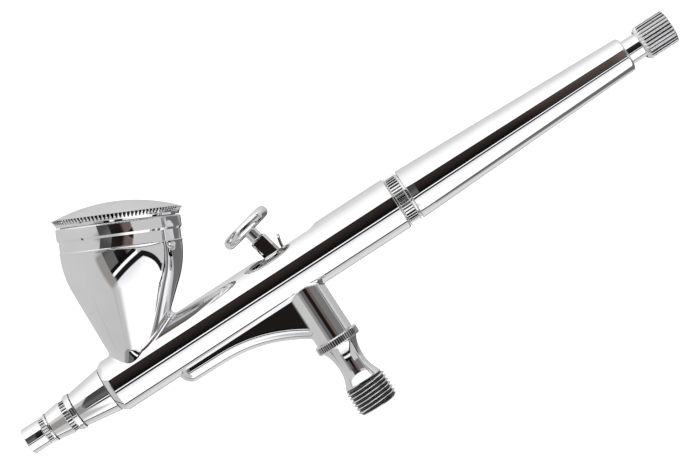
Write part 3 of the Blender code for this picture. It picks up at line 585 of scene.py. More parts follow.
def make_body():
    fine, coarse = 0.27, 1.1
    far = BARREL_R + 0.8
    xs = lines(
        (BARREL_FRONT - 2, ARM_FRONT - 1.5, coarse), (ARM_FRONT - 1.5, HOUSING_R + 1.5, fine),
        (HOUSING_R + 1.5, BARREL_REAR + 2, coarse),
    )
    ys = lines((-far, far, fine))
    zs = lines((HOUSING_END - 1.5, AXIS_Z + far, fine))

    def capped(x, y, z):
        return np.maximum.reduce([
            body_distance(x, y, z), BARREL_FRONT - 1.5 - x, x - BARREL_REAR - 1.5, HOUSING_END - 1.0 - z
        ])

    blank = skin(capped, xs, ys, zs)
    body = finished("body_shell", blank, Matrix.Identity(4), "chrome", None, None)

    bevel_out = 2.0
    steep = NOSE_BEVEL / (BARREL_R - NOSE_R)
    envelope = [
        (BARREL_FRONT, 0.5),
        *eased([(BARREL_FRONT, 0.5), (BARREL_FRONT, NOSE_R),
                (BARREL_FRONT + steep * (bevel_out + BARREL_R - NOSE_R), BARREL_R + bevel_out)],
               0.15, closed=False)[1:],
        (BARREL_FRONT + 8, 40),
        (BARREL_REAR - 1, 40),
        (BARREL_REAR - 0.75, BARREL_R + 0.2),
        *arc((BARREL_REAR - 0.55, BARREL_R - 0.5), 0.55, 70, 0, 6),
        (BARREL_REAR, 0.5),
    ]
    chamber_rear, gasket_seat, guide_top, well_top = 19.8, 22.9, 29.8, 33.2
    bore = [
        (BARREL_FRONT - 2, 0.5), (BARREL_FRONT - 2, HEAD_BORE_R), (BARREL_FRONT + 5, HEAD_BORE_R),
        (BARREL_FRONT + 5, 1.3), (CHAMBER_FRONT, 1.3), (CHAMBER_FRONT, CHAMBER_R),
        (chamber_rear, CHAMBER_R), (chamber_rear, REAR_BORE_R), (BARREL_REAR + 2, REAR_BORE_R),
        (BARREL_REAR + 2, 0.5),
    ]
    valve_bore = [
        (HOUSING_END - 3, 0.3), (HOUSING_END - 3, VALVE_BORE_R), (gasket_seat, VALVE_BORE_R),
        (gasket_seat, 1.75), (guide_top, 1.75), (guide_top, 2.5), (well_top, 2.5), (well_top, 0.3),
    ]
    front, rear = (SLOT_FRONT + SLOT_HALF, 0), (SLOT_REAR - SLOT_HALF, 0)
    stadium = [*arc(rear, SLOT_HALF, -90, 90, 40), *arc(front, SLOT_HALF, 90, 270, 40)]
    slot = bmesh.new()
    floor = slot.faces.new([slot.verts.new((x * MM, y * MM, AXIS_Z * MM)) for x, y in stadium])
    grown = bmesh.ops.extrude_face_region(slot, geom=[floor])["geom"]
    raised = [item for item in grown if isinstance(item, bmesh.types.BMVert)]
    bmesh.ops.translate(slot, verts=raised, vec=(0, 0, 8 * MM))
    end = block((-9, -9, HOUSING_END), (9, 9, HOUSING_END - 5))
    whole = filled(turned(envelope, 256, ring=False))
    steps = [
        ("INTERSECT", helper("envelope", whole, ON_BARREL)),
        ("DIFFERENCE", helper("housing_end", end)),
    ]
    for name, outline, place in (("bore", bore, ON_BARREL), ("valve_bore", valve_bore, ON_VALVE)):
        mesh = filled(turned(outline, 128, ring=False))
        steps.append(("DIFFERENCE", helper(name, mesh, place)))
    steps.append(("DIFFERENCE", helper("slot", slot)))
    mesh = carve(body, steps)
    mesh.set_sharp_from_angle(angle=math.radians(30))
    true_normals(mesh, body_distance)
    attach(body, "airbrush")
    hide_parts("body")


make_body()


# ---- cup and lid ----
def bowl_radius(height):
    """Outer radius of the bowl at heights below its top band."""
    low = -(BOWL_TOP + BOWL_ARC * math.sin(BOWL_SLOPE))
    wide = BOWL_R - BOWL_ARC * (1 - math.cos(BOWL_SLOPE))
    drop = np.clip(-BOWL_TOP - height, 0, -BOWL_TOP - low)
    curved = BOWL_R - BOWL_ARC + np.sqrt(BOWL_ARC**2 - drop**2)
    straight = wide + (height - low) * math.tan(BOWL_SLOPE)
    return np.maximum(np.where(height > low, curved, straight), NECK_R)


def bowl_side(radius, curve, end_radius, steps=24):
    for n in range(steps + 1):
        angle = BOWL_SLOPE * n / steps
        yield -(BOWL_TOP + curve * math.sin(angle)), radius - curve * (1 - math.cos(angle))
    low, wide = BOWL_TOP + curve * math.sin(BOWL_SLOPE), radius - curve * (1 - math.cos(BOWL_SLOPE))
    yield -(low + (wide - end_radius) / math.tan(BOWL_SLOPE)), end_radius


def to_cup(x, y, z):
    """Height along the cup's axis and distance from it."""
    across, up = x - LID_X, z - LID_Z
    height = across * math.sin(CUP_TILT) + up * math.cos(CUP_TILT)
    side = across * math.cos(CUP_TILT) - up * math.sin(CUP_TILT)
    return height, np.hypot(side, y)


def cup_distance(x, y, z):
    height, reach = to_cup(x, y, z)
    slope = (bowl_radius(height + 0.05) - bowl_radius(height - 0.05)) / 0.1
    return (reach - bowl_radius(height)) / np.sqrt(1 + slope**2)


def barrel_distance(x, y, z):
    return np.hypot(y, z - AXIS_Z) - BARREL_R


def make_cup_fillet(radius=CUP_FILLET, around=360, steps=10):
    """Brazed fillet between cup and barrel: a ball rolled round the joint touches both."""
    turn = np.arange(around) * 2 * math.pi / around
    reach, height = np.full(around, NECK_R + 2.0), np.full(around, -27.0)

    def spot(reach, height):
        side, y = reach * np.cos(turn), reach * np.sin(turn)
        x = LID_X + side * math.cos(CUP_TILT) + height * math.sin(CUP_TILT)
        z = LID_Z - side * math.sin(CUP_TILT) + height * math.cos(CUP_TILT)
        return x, y, z

    def misses(reach, height):
        at = spot(reach, height)
        return cup_distance(*at) - radius, barrel_distance(*at) - radius

    nudge = 1e-3
    for _ in range(40):
        a, b = misses(reach, height)
        a_r, b_r = ((m - o) / nudge for m, o in zip(misses(reach + nudge, height), (a, b)))
        a_h, b_h = ((m - o) / nudge for m, o in zip(misses(reach, height + nudge), (a, b)))
        whole = a_r * b_h - a_h * b_r
        reach = reach - np.clip((a * b_h - b * a_h) / whole, -1, 1)
        height = height - np.clip((b * a_r - a * b_r) / whole, -1, 1)
    centre = np.stack(spot(reach, height), axis=1)
    to_bowl, _ = gradient(cup_distance, centre)
    to_barrel, _ = gradient(barrel_distance, centre)
    opening = np.arccos(np.clip((to_bowl * to_barrel).sum(1), -1, 1))[:, None]
    rows = []
    for n in range(steps + 1):
        share = n / steps
        way = np.sin((1 - share) * opening) * to_bowl + np.sin(share * opening) * to_barrel
        way = way / np.sin(opening)
        rows.append(centre - way * (radius + 0.002))
    middle = to_bowl + to_barrel
    middle /= np.linalg.norm(middle, axis=1, keepdims=True)
    rows.append(centre - middle * (radius / np.cos(opening / 2) + 0.15))
    mesh = sheet_of(np.array(rows) * MM, True)
    finished("cup_fillet", mesh, Matrix.Identity(4), "chrome", "airbrush", None)


def make_cup():
    top, rim_r, band_r = -1.55, 13.9, 13.55
    rim = eased(
        [(top, MOUTH_R - 0.4), (top, rim_r - 0.3), (top - 0.3, rim_r), (-4.1, rim_r),
         (-4.62, band_r - 0.03), (-6.95, band_r - 0.03), (-7.1, BOWL_R + 0.12), (-BOWL_TOP, BOWL_R)],
        0.06, closed=False,
    )
    side = closer(list(bowl_side(BOWL_R, BOWL_ARC, NECK_R)), 0.8)
    outside = [(top, 0), *rim, *side[1:], (-34.0, NECK_R), (-34.0, 0)]
    inner_r, inner_end = BOWL_R - CUP_WALL, 4.6
    inner = closer(list(bowl_side(inner_r, BOWL_ARC - CUP_WALL, inner_end)), 0.8)
    inside = [
        (top + 1, 0), (top + 1, MOUTH_R + 1.0 + 0.12), (top - 0.12, MOUTH_R), (-MOUTH_DEPTH, MOUTH_R),
        (-MOUTH_DEPTH, inner_r), *inner, (-31.4, 0),
    ]
    cup = helper("paint_cup_skin", turned(outside, ring=False), ON_CUP)
    hollow = helper("cup_hollow", turned(inside, ring=False), ON_CUP)
    reach = (LID_X - 30, LID_X + 15)

    def rod(low, high, radius, sides=SIDES):
        return turned([(low, 0), (low, radius), (high, radius), (high, 0)], sides, ring=False)

    carve(hollow, [("DIFFERENCE", helper("cup_floor", rod(*reach, BARREL_R + 0.75), ON_BARREL))])
    drain = rod(AXIS_Z - 1, AXIS_Z + 12, DRAIN_R, 64)
    carve(cup, [
        ("DIFFERENCE", hollow),
        ("DIFFERENCE", helper("cup_seat", rod(*reach, BARREL_R - 0.25), ON_BARREL)),
        ("DIFFERENCE", helper("cup_drain", drain, placing(DRAIN_X))),
    ])
    dress(cup, "chrome", "airbrush", "paint_cup")
    make_cup_fillet()


def make_lid():
    rise, rim_top, rim_low, wall = 3.05, 0.35, -1.4, 0.7
    dome_edge, vent_r, skirt_r, teeth = 14.0, 0.7, 12.75, 102
    sagitta = rise - rim_top
    dome_r = (dome_edge**2 + sagitta**2) / (2 * sagitta)
    skirt_end = -MOUTH_DEPTH + 0.3

    def dome(reach, drop):
        return rise - dome_r - drop + math.sqrt(dome_r**2 - reach**2), reach

    reaches = np.linspace(vent_r + 0.1, dome_edge, 24)
    rim = [(rim_top, dome_edge + 0.15), (rim_top - 0.1, 14.6), (-0.95, 13.75), (rim_low, 13.65)]
    rim = closer(rim, 0.1)
    outline = [
        (dome(vent_r, 0)[0] - 0.1, vent_r),
        *(dome(reach, 0) for reach in reaches),
        *rim,
        (rim_low, skirt_r + 0.1), (rim_low - 0.1, skirt_r),
        (skirt_end + 0.15, skirt_r), (skirt_end, skirt_r - 0.15),
        (skirt_end, skirt_r - wall + 0.1), (skirt_end + 0.1, skirt_r - wall),
        *(dome(reach, wall) for reach in np.linspace(skirt_r - wall, vent_r, 14)),
    ]
    cut = ribbed(14.62, 0.95, teeth, -0.75, rim_top - 0.02, 0.8)
    solid_turned(
        "cup_lid", outline, ON_CUP, "turned_chrome", "lid", "chrome", sides=teeth * 8, cut=cut, depth=0.45
    )


# ---- head: cone, nozzle cap, needle cap, nozzle and needle ----
def make_head():
    head_front, shoulder = along_barrel("head_base")[0], BARREL_FRONT - GAP
    nose, spigot_r = -56.5, 3.0
    outline = eased([
        (head_front, 2.1), (head_front, spigot_r), (nose, spigot_r), (nose, 4.1), (shoulder, 5.35),
        (shoulder, 3.6), (-43.15, 3.6), (-43.15, 1.3), (-55.3, 1.3), (-55.3, 1.45), (-58.7, 1.45),
        (-58.7, 2.1),
    ])
    solid_turned("head_base", outline, ON_BARREL, "chrome", "airbrush", "chrome")

    cap_front, step, cap_rear, tube_r = -66.6, -63.3, -56.65, 2.3
    outline = [
        (cap_front, 0.75), (cap_front, tube_r - 0.3), (cap_front + 0.3, tube_r), (step, tube_r),
        (step, 3.2), (step + 0.12, 3.35), (-59.45, 3.95), (-59.4, 4.1), (-59.25, 4.17),
        (-58.2, 4.17), (-58.1, 4.1), (-58.08, 3.8), (-57.95, 3.8), (-57.92, 4.25), (-57.8, 4.35),
        (-57.42, 4.35), (-57.36, 4.27), (-57.3, 4.27), (-57.24, 4.35), (cap_rear - 0.12, 4.35),
        (cap_rear, 4.25), (cap_rear, 3.9), (-57.6, 3.9), (-57.6, 3.1), (-61.45, 3.1), (-61.8, 2.2),
        (-66.0, 0.75),
    ]
    outline = closer(eased(outline, 0.05), 0.1, -59.5, -58.05)
    ribs = 34
    cut = ribbed(4.19, 0.3, ribs, -59.36, -58.1)
    solid_turned(
        "nozzle_cap", outline, ON_BARREL, "bright_chrome", "airbrush", "bright_chrome",
        sides=ribs * 12, cut=cut, depth=0.3,
    )

    bore, front, rear = tube_r + GAP, -69.7, -63.45
    outline = [
        (front, bore), (front, 2.95), (front + 0.15, 3.1), (-65.4, 3.1), (-65.32, 3.02), (-65.22, 3.02),
        (-65.17, 3.3), (-65.05, 3.38), (-64.0, 3.38), (-63.9, 3.3), (-63.86, 3.4), (-63.78, 3.45),
        (rear - 0.08, 3.45), (rear, 3.37), (rear, bore),
    ]
    outline = closer(eased(outline, 0.04), 0.1, -65.2, -63.85)
    ribs = 30
    cut = ribbed(3.4, 0.22, ribs, -65.12, -63.95)
    solid_turned(
        "needle_cap", outline, ON_BARREL, "bright_chrome", "airbrush", "bright_chrome",
        sides=ribs * 12, cut=cut, depth=0.22,
    )

    tip, taper, needle_r = -67.2, -51.0, 0.7
    tail = along_barrel("needle")[1]
    outline = [(tip, 0), (tip + 0.02, 0.03), (taper - 1, 0.66), (taper, needle_r), (tail - 0.4, needle_r),
               (tail, 0.3), (tail, 0)]
    solid_turned("needle", outline, ON_BARREL, "steel", "needle_set", "steel", sides=48, ring=False)
    outline = eased([
        (-65.9, 0.19), (-65.9, 0.45), (-60.1, 1.35), (-60.1, 1.9), (-58.85, 1.9), (-58.85, 1.35),
        (-55.45, 1.35), (-55.45, 0.95),
    ], 0.05)
    solid_turned("nozzle", outline, ON_BARREL, "brass", "airbrush", "brass", sides=96)


# ---- rear: connector ring, handle and preset knob ----
def make_rear():
    ring_front, ring_rear, ring_r, ribs = BARREL_REAR + GAP, 30.4, 6.1, 52
    spigot_end = 37.5  # inside the handle
    outline = eased([
        (20.1, 3.85), (20.1, 5.15), (ring_front, 5.15), (ring_front, ring_r - 0.25),
        (ring_front + 0.25, ring_r), (ring_rear - 0.25, ring_r), (ring_rear, ring_r - 0.3),
        (ring_rear, 5.5), (HANDLE_LOW.x - GAP, 5.5), (HANDLE_LOW.x - GAP, 4.5), (spigot_end, 4.5),
        (spigot_end, 3.85),
    ], 0.08)
    outline = closer(outline, 0.12, ring_front, ring_rear)
    cut = ribbed(ring_r + 0.02, 0.3, ribs, ring_front + 0.14, ring_rear - 0.14)
    solid_turned(
        "rear_connector", outline, ON_BARREL, "turned_chrome", "airbrush", "chrome",
        sides=ribs * 10, cut=cut, depth=0.34,
    )

    front, rear, handle_r = along_barrel("handle")
    tail_r, corner = 4.1, 0.8
    web_front, web_rear = 77.5, 80.3  # the wall that the knob's screw runs through
    long_side = closer([(front + 0.22, handle_r), (rear - corner, tail_r)], 4.0)
    outline = [
        (front, 4.6), (front, handle_r - 0.22), (front + 0.06, handle_r - 0.08), *long_side,
        *((rear - corner + out, tail_r - corner + up) for up, out in arc((0, 0), corner, 0, 90, 10)),
        (rear, 3.1), (rear - 0.1, 3.0), (web_rear, 3.0), (web_rear, 1.6), (web_front, 1.6),
        (web_front, 2.8), (39.0, 4.3), (38.5, 4.6),
    ]
    solid_turned("handle", outline, ON_BARREL, "chrome", "airbrush", "chrome")

    stem_front, _, knob_r = along_barrel("preset_knob")
    knob_front, knob_rear, stem_r, ribs = 91.6, 99.4, 2.85, 30
    groove_front, groove_rear, bore_end, bore_r = 84.2, 85.7, 96.5, 1.55
    outline = [
        (stem_front, bore_r), (stem_front, stem_r - 0.1), (stem_front + 0.1, stem_r),
        (groove_front, stem_r), (groove_front, 2.2), (groove_rear, 2.2), (groove_rear, stem_r),
        (knob_front, stem_r), (knob_front, 3.3), (knob_front + 0.08, 3.42), (knob_front + 0.9, 4.1),
        (knob_front + 1.1, knob_r), (knob_rear - 0.35, knob_r), (knob_rear - 0.1, 4.02),
        (knob_rear, 3.85), (knob_rear, 0.4), (knob_rear - 0.1, 0),
    ]
    outer = closer(eased(outline, 0.06, closed=False), 0.25, knob_front + 0.7, knob_rear - 0.05)
    outline = outer[:-1] + [(knob_rear - 0.1, 0.05), (bore_end, 0.05), (bore_end, bore_r)]
    cut = ribbed(knob_r + 0.02, 0.42, ribs, knob_front + 0.55, knob_rear - 0.12, 1.3)
    solid_turned(
        "preset_knob", outline, ON_BARREL, "turned_chrome", "knob", "chrome",
        sides=ribs * 14, cut=cut, depth=0.46,
    )


# ---- trigger ----
def make_trigger():
    prong_r, prong_half, blade_half, blade_top = 1.15, 1.9, 1.95, 12.0
    button_h, button_half, button_r, dish, neck_r = 15.6, 1.3, 6.25, 0.7, 1.5
    chamfer = 0.5

    def blade(inset):
        """The stem's side outline, drawn in by an inset."""
        wide, slim, top = blade_half - inset, prong_r - inset, blade_top - 0.4 * inset
        return [
            *arc((0, 0), slim, 180, 360, 24), (slim, 4.6), (wide, 6.2), (wide, top - 0.25),
            (wide - 0.07, top - 0.07), (wide - 0.25, top), (0.25 - wide, top), (0.07 - wide, top - 0.07),
            (-wide, top - 0.25), (-wide, 6.2), (-slim, 4.6),
        ]

    sides = ((-1, chamfer), (chamfer / prong_half - 1, 0), (1 - chamfer / prong_half, 0), (1, chamfer))
    rows = [[(x, share * prong_half, z) for x, z in blade(inset)] for share, inset in sides]
    plate = filled(sheet_of(np.array(rows) * MM, False))
    stem = helper("trigger_stem_skin", plate, ON_TRIGGER)
    under = button_h - button_half
    neck = [
        (blade_top - 1, 0), (blade_top - 1, neck_r + 0.35), (blade_top + 0.02, neck_r + 0.35),
        *((blade_top + 0.35 + h, neck_r + 0.35 + r) for r, h in arc((0, 0), 0.35, 270, 180, 6)),
        (under - 0.1, neck_r), (under - 0.1, 1.2), (button_h - 0.3, 1.2), (button_h - 0.3, 0),
    ]
    fork = block((-3, -0.9, -3), (3, 0.9, 5.2))
    carve(stem, [
        ("UNION", helper("stem_neck", turned(neck, 96, ring=False), ON_TRIGGER)),
        ("DIFFERENCE", helper("fork_gap", fork, ON_TRIGGER)),
    ])
    refine(stem.data, 0.35)
    dress(stem, "chrome", "trigger", "trigger_stem", 28)

    dish_r = button_r - button_half
    top = button_h + button_half
    outline = [
        (button_h, 0), (button_h, 1.3), (under, 1.3),
        *((button_h + up, dish_r + out) for out, up in arc((0, 0), button_half, -90, 90, 40)),
        *((top - dish * (1 - share**2), dish_r * share) for share in np.linspace(0.96, 0.04, 24)),
        (top - dish, 0),
    ]
    solid_turned("finger_button", outline, ON_TRIGGER, "chrome", "trigger", "chrome", ring=False)


def make_auxiliary_lever():
    half_width, half_thick, ease, tip_from = 2.1, 0.27, 0.12, 6
    spine = [(0, 0), (-1.2, 0), (-1.8, 0.25), (-2.15, 1.2), (-2.3, 4.0), (-2.75, 9.0), (-2.5, 11.0),
             (-2.3, 11.7), (-2.15, 12.2)]
    points = [Vector((x, z)) for x, z in spine]
    slim, flat = 1 - ease / half_thick * 0.8, 1 - ease
    section = [(1, flat), (slim, 1), (-slim, 1), (-1, flat),
               (-1, -flat), (-slim, -1), (slim, -1), (1, -flat)]
    rows = []
    for n in range(len(points) - 1):
        a, b = points[max(n - 1, 0)], points[n]
        c, d = points[n + 1], points[min(n + 2, len(points) - 1)]
        square, cube = 2 * a - 5 * b + 4 * c - d, 3 * b - a - 3 * c + d
        steps = 8
        for step in range(steps + (n == len(points) - 2)):
            t = step / steps
            at = 0.5 * (2 * b + (c - a) * t + square * t**2 + cube * t**3)
            run = 0.5 * ((c - a) + 2 * square * t + 3 * cube * t**2)
            out = Vector((-run.y, run.x)).normalized() * half_thick
            half = half_width
            if n >= tip_from:
                share = (n - tip_from + t) / 2
                half = half_width * math.sqrt(max(1 - share**2, 0.06))
            rows.append([(at.x + s * out.x, w * half, at.y + s * out.y) for s, w in section])
    lever = helper("lever_plate", filled(sheet_of(np.array(rows) * MM, False)), AT_LEVER)
    roll = prism(list(arc((0, 0), 0.45, 0, 345, 23)), half_width, 0.08)
    carve(lever, [
        ("UNION", helper("lever_roll", roll, AT_LEVER)),
        ("DIFFERENCE", helper("lever_slot", block((-4, -0.9, 1.5), (0, 0.9, 4.8)), AT_LEVER)),
    ])
    dress(lever, "nickel", "aux_lever", "auxiliary_lever")


# ---- air valve ----
def threaded(low, high, crest_r, core_r, sides=192, per_pitch=24):
    """A closed sleeve with a right-hand thread, its grid sheared along the helix."""
    lead_in = 0.5

    def radius(height, turn):
        phase = (height / THREAD_PITCH - turn / (2 * math.pi)) % 1.0
        flank = np.clip(1.25 * (1 - 2 * np.abs(phase - 0.5)) - 0.08, 0, 1)
        thread = crest_r - THREAD_DEPTH * (1 - flank)
        entry = core_r + 0.25 + (height - low) * (crest_r - core_r - 0.25) / lead_in
        exit_ = core_r + 0.25 + (high - height) * (crest_r - core_r) / (0.8 * THREAD_PITCH)
        return np.minimum(thread, np.minimum(entry, exit_))

    turn = np.linspace(0, 2 * math.pi, sides + 1)[None, :]
    count = math.ceil((high - low) / THREAD_PITCH + 1) * per_pitch
    row = np.arange(-per_pitch, count + 1)[:, None]
    start = math.floor(low / THREAD_PITCH)
    height = np.clip(THREAD_PITCH * (start + row / per_pitch + turn / (2 * math.pi)), low, high)
    reach = radius(height, turn)
    flat = np.ones_like(turn)
    height = np.concatenate([low * flat, height, high * flat])
    reach = np.concatenate([core_r * flat, reach, core_r * flat])
    grid = np.stack([reach * np.cos(turn), reach * np.sin(turn), height], axis=2) * MM
    count, around = grid.shape[:2]
    mesh, verts = grid_verts(grid, np.clip((crest_r - reach) / (0.8 * THREAD_DEPTH), 0, 1))
    for n in range(count):
        first, second = n * around, (n + 1) % count * around
        for k in range(around - 1):
            corners = (first + k, first + k + 1, second + k + 1, second + k)
            mesh.faces.new([verts[corner] for corner in corners])
    bmesh.ops.remove_doubles(mesh, verts=mesh.verts, dist=2e-7)
    return mesh


def make_valve():
    ring_top, ring_low, ring_r, ribs, bore = HOUSING_END - GAP, 16.2, 5.25, 58, 2.35
    thread_low, thread_high, crest_r = 0.25, 6.55, 4.865
    waist = [(15.9, 4.15), (14.3, 3.5), (12.7, 3.2), (11.1, 3.15), (8.9, 3.45), (7.3, 4.15), (6.75, 4.4)]
    heights, radii = (np.array(values[::-1]) for values in zip(*waist))
    fine = np.linspace(heights[-1], heights[0], 40)
    powers = np.polynomial.Polynomial.fit(heights, radii, 5)
    smooth_waist = [(h, float(powers(h))) for h in fine]
    outline = [
        (22.2, 1.25), (22.2, 3.35), (ring_top, 3.35), (ring_top, ring_r - 0.45),
        *((ring_top - 0.45 + h, ring_r - 0.45 + r) for r, h in arc((0, 0), 0.45, 80, 0, 6)),
        *((ring_low + 0.45 + h, ring_r - 0.45 + r) for r, h in arc((0, 0), 0.45, 0, -80, 6)),
        (ring_low, ring_r - 0.45), (ring_low, 4.35), (ring_low - 0.15, 4.2),
        *smooth_waist, (6.6, 4.42), (6.45, 4.2), (thread_low, 4.2), (0.12, 4.0), (0, 3.85),
        (0, bore + 0.2), (0.3, bore), (16.2 - 1.5, bore), (16.2 - 1.5, 1.25),
    ]
    outline = closer(outline, 0.12, ring_low + 0.1, ring_top)
    cut = ribbed(ring_r + 0.01, 0.24, ribs, ring_low + 0.3, ring_top - 0.3)
    core = turned(outline, ribs * 8, cut=cut, depth=0.26)
    sleeve = threaded(thread_low, thread_high, crest_r, 4.0)
    extra = bpy.data.meshes.new("sleeve")
    sleeve.to_mesh(extra)
    sleeve.free()
    core.from_mesh(extra)
    bpy.data.meshes.remove(extra)
    finished("valve_body_skin", core, ON_VALVE, "turned_chrome", "airbrush", "valve_body", 30)


# ---- springs ----
def coil(low, high, radius, wire, turns, around=12, per_turn=48):
    """A compression spring about its own Z: a round wire on a helix, with filled ends."""
    share = np.linspace(0, 1, turns * per_turn + 1)[:, None]
    section = np.arange(around)[None, :] * 2 * math.pi / around
    turn, reach = 2 * math.pi * turns * share, radius + wire * np.cos(section)
    height = low + (high - low) * share + wire * np.sin(section)
    grid = np.stack([reach * np.cos(turn), reach * np.sin(turn), height], axis=2)
    return filled(sheet_of(grid * MM, False))


def make_springs():
    """Both springs, wound as coils of round wire in place of their CAD nodes."""
    for name, place, axis, held_low, joint, radius, wire, turns in (
        ("needle_spring", ON_BARREL, 0, False, "needle_draw", 2.45, 0.3, 9),
        ("valve_spring", ON_VALVE, 2, True, "trigger_press", 1.6, 0.22, 6),
    ):
        low, high = (corner[axis] for corner in span(name))
        own = place.translation[axis] / MM
        mesh = coil(low + wire - own, high - wire - own, radius, wire, turns)
        spring = finished(name + "_wire", mesh, place, "spring_steel", "airbrush", name, None)
        direction = Vector((0, 0, 0))
        direction[axis] = 1
        anchor = place.translation.copy()
        anchor[axis] = (low if held_low else high) * MM
        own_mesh(spring)


make_cup()
make_lid()
make_head()
make_rear()
make_trigger()
make_auxiliary_lever()
make_valve()
make_springs()

# ---- finishes of the pieces that stay as they are in the frame ----
KEPT = {
    "ptfe": ("head_seal", "needle_packing", "valve_gasket"),
    "brass": ("packing_screw", "valve_plunger", "valve_screw"),
    "nickel": ("needle_tube", "chuck_nut", "spring_case"),
    "steel": ("trigger_pin", "trigger_foot", "stop_screw"),
    "rubber": ("knob_o_ring", "plunger_o_ring"),
}
for finish, names in KEPT.items():
    for name in names:
        data = NODES[name].data
        data.materials.clear()
        data.materials.append(MATERIALS[finish])
        data.shade_smooth()
        data.set_sharp_from_angle(angle=math.radians(40))


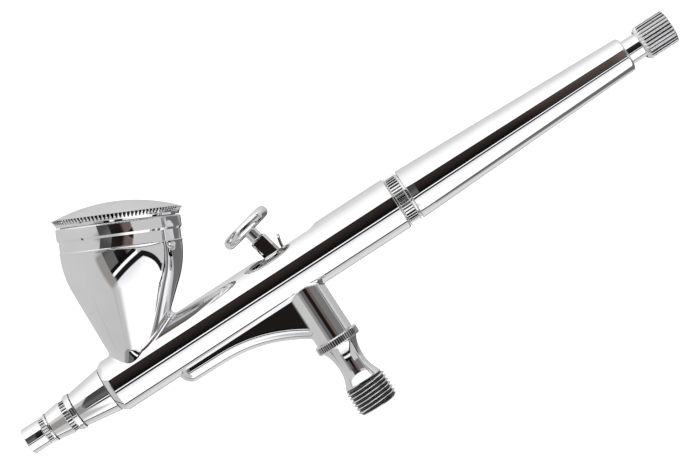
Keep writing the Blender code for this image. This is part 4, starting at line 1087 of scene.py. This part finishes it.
# ---- studio ----
def make_studio():
    """A white tent: pale sides, white above and below, and a dark opening in front."""
    world = bpy.data.worlds.new("studio")
    bpy.context.scene.world = world
    world.use_nodes = True
    tree = world.node_tree
    tree.nodes.clear()
    nodes = Nodes(tree)
    place = nodes.add("ShaderNodeTexCoord").outputs["Generated"]
    split = nodes.add("ShaderNodeSeparateXYZ")
    nodes.link(place, split.inputs[0])
    right, back, up = split.outputs
    front = nodes.math("MULTIPLY", back, -1.0)
    degrees = 180 / math.pi
    around = nodes.math("MULTIPLY", nodes.math("ARCTAN2", right, front), degrees)
    over = nodes.math("MULTIPLY", nodes.math("ARCTAN2", up, front), degrees)
    height = nodes.math("MULTIPLY", nodes.math("ARCSINE", up), degrees)

    def band(value, low, high, soft=1.5, soft_high=None):
        rise = nodes.spread(value, low - soft, low + soft, 0.0, 1.0)
        soft = soft_high or soft
        fall = nodes.spread(value, high - soft, high + soft, 1.0, 0.0)
        return nodes.math("MULTIPLY", rise, fall)

    def both(*masks):
        whole = masks[0]
        for mask in masks[1:]:
            whole = nodes.math("MULTIPLY", whole, mask)
        return whole

    def level(value, low, high, start, end):
        """A grey that changes from start to end as a value goes from low to high."""
        share = nodes.spread(value, low, high, 0.0, 1.0)
        return nodes.mix(share, grey(start), grey(end))

    white = grey(1.3)
    bright_above = level(over, 60, 112, 1.3, 0.9)
    bright_below = nodes.mix(nodes.spread(over, -50, -30, 0.0, 1.0), white, (0.90, 0.90, 0.95, 1))
    behind_above = level(over, 108, 175, 0.86, 0.58)
    far_below = nodes.spread(over, -175, -135, 0.0, 1.0)
    behind_below = nodes.mix(far_below, grey(0.56), level(over, -125, -99, 0.82, 0.60))
    drop = nodes.spread(around, 38, 84, 0.0, 22.0)  # the floor's edge falls away to the right
    floor_edge = nodes.math("ADD", height, drop)
    behind = band(nodes.math("ABSOLUTE", over), 104, 400, 7)

    front_above = both(band(over, 32, 108, 0.8, 8.0), band(height, 32, 95, 0.8))
    front_below = both(band(over, -96, -29, 0.8), band(floor_edge, -95, -29, 0.8))
    left_wall = both(band(around, -150, -33, 9, 4.5), band(height, -62, 30, 6, 2))
    opening = both(band(around, -30, 27.5, 0.8, 1.5), band(height, -18, 31.5, 0.5))
    hole = both(band(around, -9.5, 11.5, 0.8, 3.0), band(height, -14, 31.5, 0.5))
    edge_lines = nodes.math("ADD", band(height, 28.0, 31.5, 0.4), band(height, -18, -13, 0.4))
    line_reach = band(around, -31, 88, 2)
    far_right = both(band(around, 104, 166, 3), band(height, -80, -9, 5))
    layers = (
        (behind, nodes.mix(band(over, 0, 400, 1), behind_below, behind_above)),
        (front_above, bright_above),
        (front_below, bright_below),
        (left_wall, level(height, -50, 40, 0.60, 0.68)),
        (both(band(over, -101, -94, 0.6), band(height, -90, -10, 3)), grey(0.03)),
        (both(band(over, -107, -97, 0.6), band(around, 30, 104, 6), band(height, -70, -10, 3)), grey(0.03)),
        (both(line_reach, band(height, -22, -17.3, 0.3), band(around, -60, 29, 1)), white),
        (both(line_reach, band(floor_edge, -29, -22, 0.5)), grey(0.012)),
        (both(band(around, -46, -29, 3), band(height, -30, 12, 3)), (0.34, 0.325, 0.305, 1)),
        (both(band(around, 10, 71, 1), band(height, -7, 24, 1)), grey(0.21)),
        (opening, (0.17, 0.125, 0.11, 1)),
        (both(band(around, -30, -9, 1), band(height, -18, 31.5, 0.5)), level(height, 2, 10, 0.14, 0.075)),
        (hole, nodes.mix(nodes.spread(height, -14, 24, 0.0, 1.0), grey(0.004), (0.036, 0.027, 0.024, 1))),
        (both(opening, edge_lines), grey(0.006)),
        (both(band(around, 75, 80, 0.8), band(height, -14, 40, 3)), grey(0.04)),
        (both(band(around, 94, 103, 1), band(height, -80, -9, 3)), grey(0.02)),
        (far_right, grey(0.17)),
        (both(band(nodes.math("ABSOLUTE", around), 166, 400, 2), band(height, -20, 1, 1)), grey(0.06)),
    )
    colour = nodes.mix(0.0, grey(0.66), grey(0.66))
    for mask, shade in layers:
        colour = nodes.mix(mask, colour, shade)
    seen = nodes.add("ShaderNodeLightPath").outputs["Is Camera Ray"]
    colour = nodes.mix(seen, colour, grey(1.2))
    background = nodes.add("ShaderNodeBackground")
    nodes.link(colour, background.inputs["Color"])
    nodes.link(background.outputs[0], nodes.add("ShaderNodeOutputWorld").inputs["Surface"])

    floor_mesh = bmesh.new()
    bmesh.ops.create_grid(floor_mesh, x_segments=1, y_segments=1, size=1.0)
    floor = finished("studio_floor", floor_mesh, Matrix.Translation((0, 0, -0.4)), None, None, None, 0)
    material, nodes, shader = new_material("pale_floor")
    shader.inputs["Base Color"].default_value = grey(0.9)
    shader.inputs["Emission Color"].default_value = grey(1.0)
    shader.inputs["Emission Strength"].default_value = 1.0
    floor.data.materials.append(material)
    floor.visible_glossy = False  # the tent is what the metal mirrors


def make_camera():
    """Square on to the barrel's side, rolled so that the barrel falls towards the handle."""
    roll, rise, away, frame_width = math.radians(33.0), math.radians(1.0), 500.0, 154.9
    target = Vector((15.3, 0, AXIS_Z))
    turn = Matrix.Rotation(roll, 4, "Y") @ Matrix.Rotation(math.radians(90) - rise, 4, "X")
    camera = bpy.data.objects.new("camera", bpy.data.cameras.new("camera"))
    camera.matrix_world = Matrix.Translation(target * MM) @ turn @ Matrix.Translation((0, 0, away * MM))
    camera.data.sensor_width = 36.0
    camera.data.lens = camera.data.sensor_width * away / frame_width
    camera.data.clip_start = 0.01
    bpy.context.scene.collection.objects.link(camera)
    bpy.context.scene.camera = camera
    bpy.context.scene.view_settings.view_transform = "Standard"


make_studio()
make_camera()
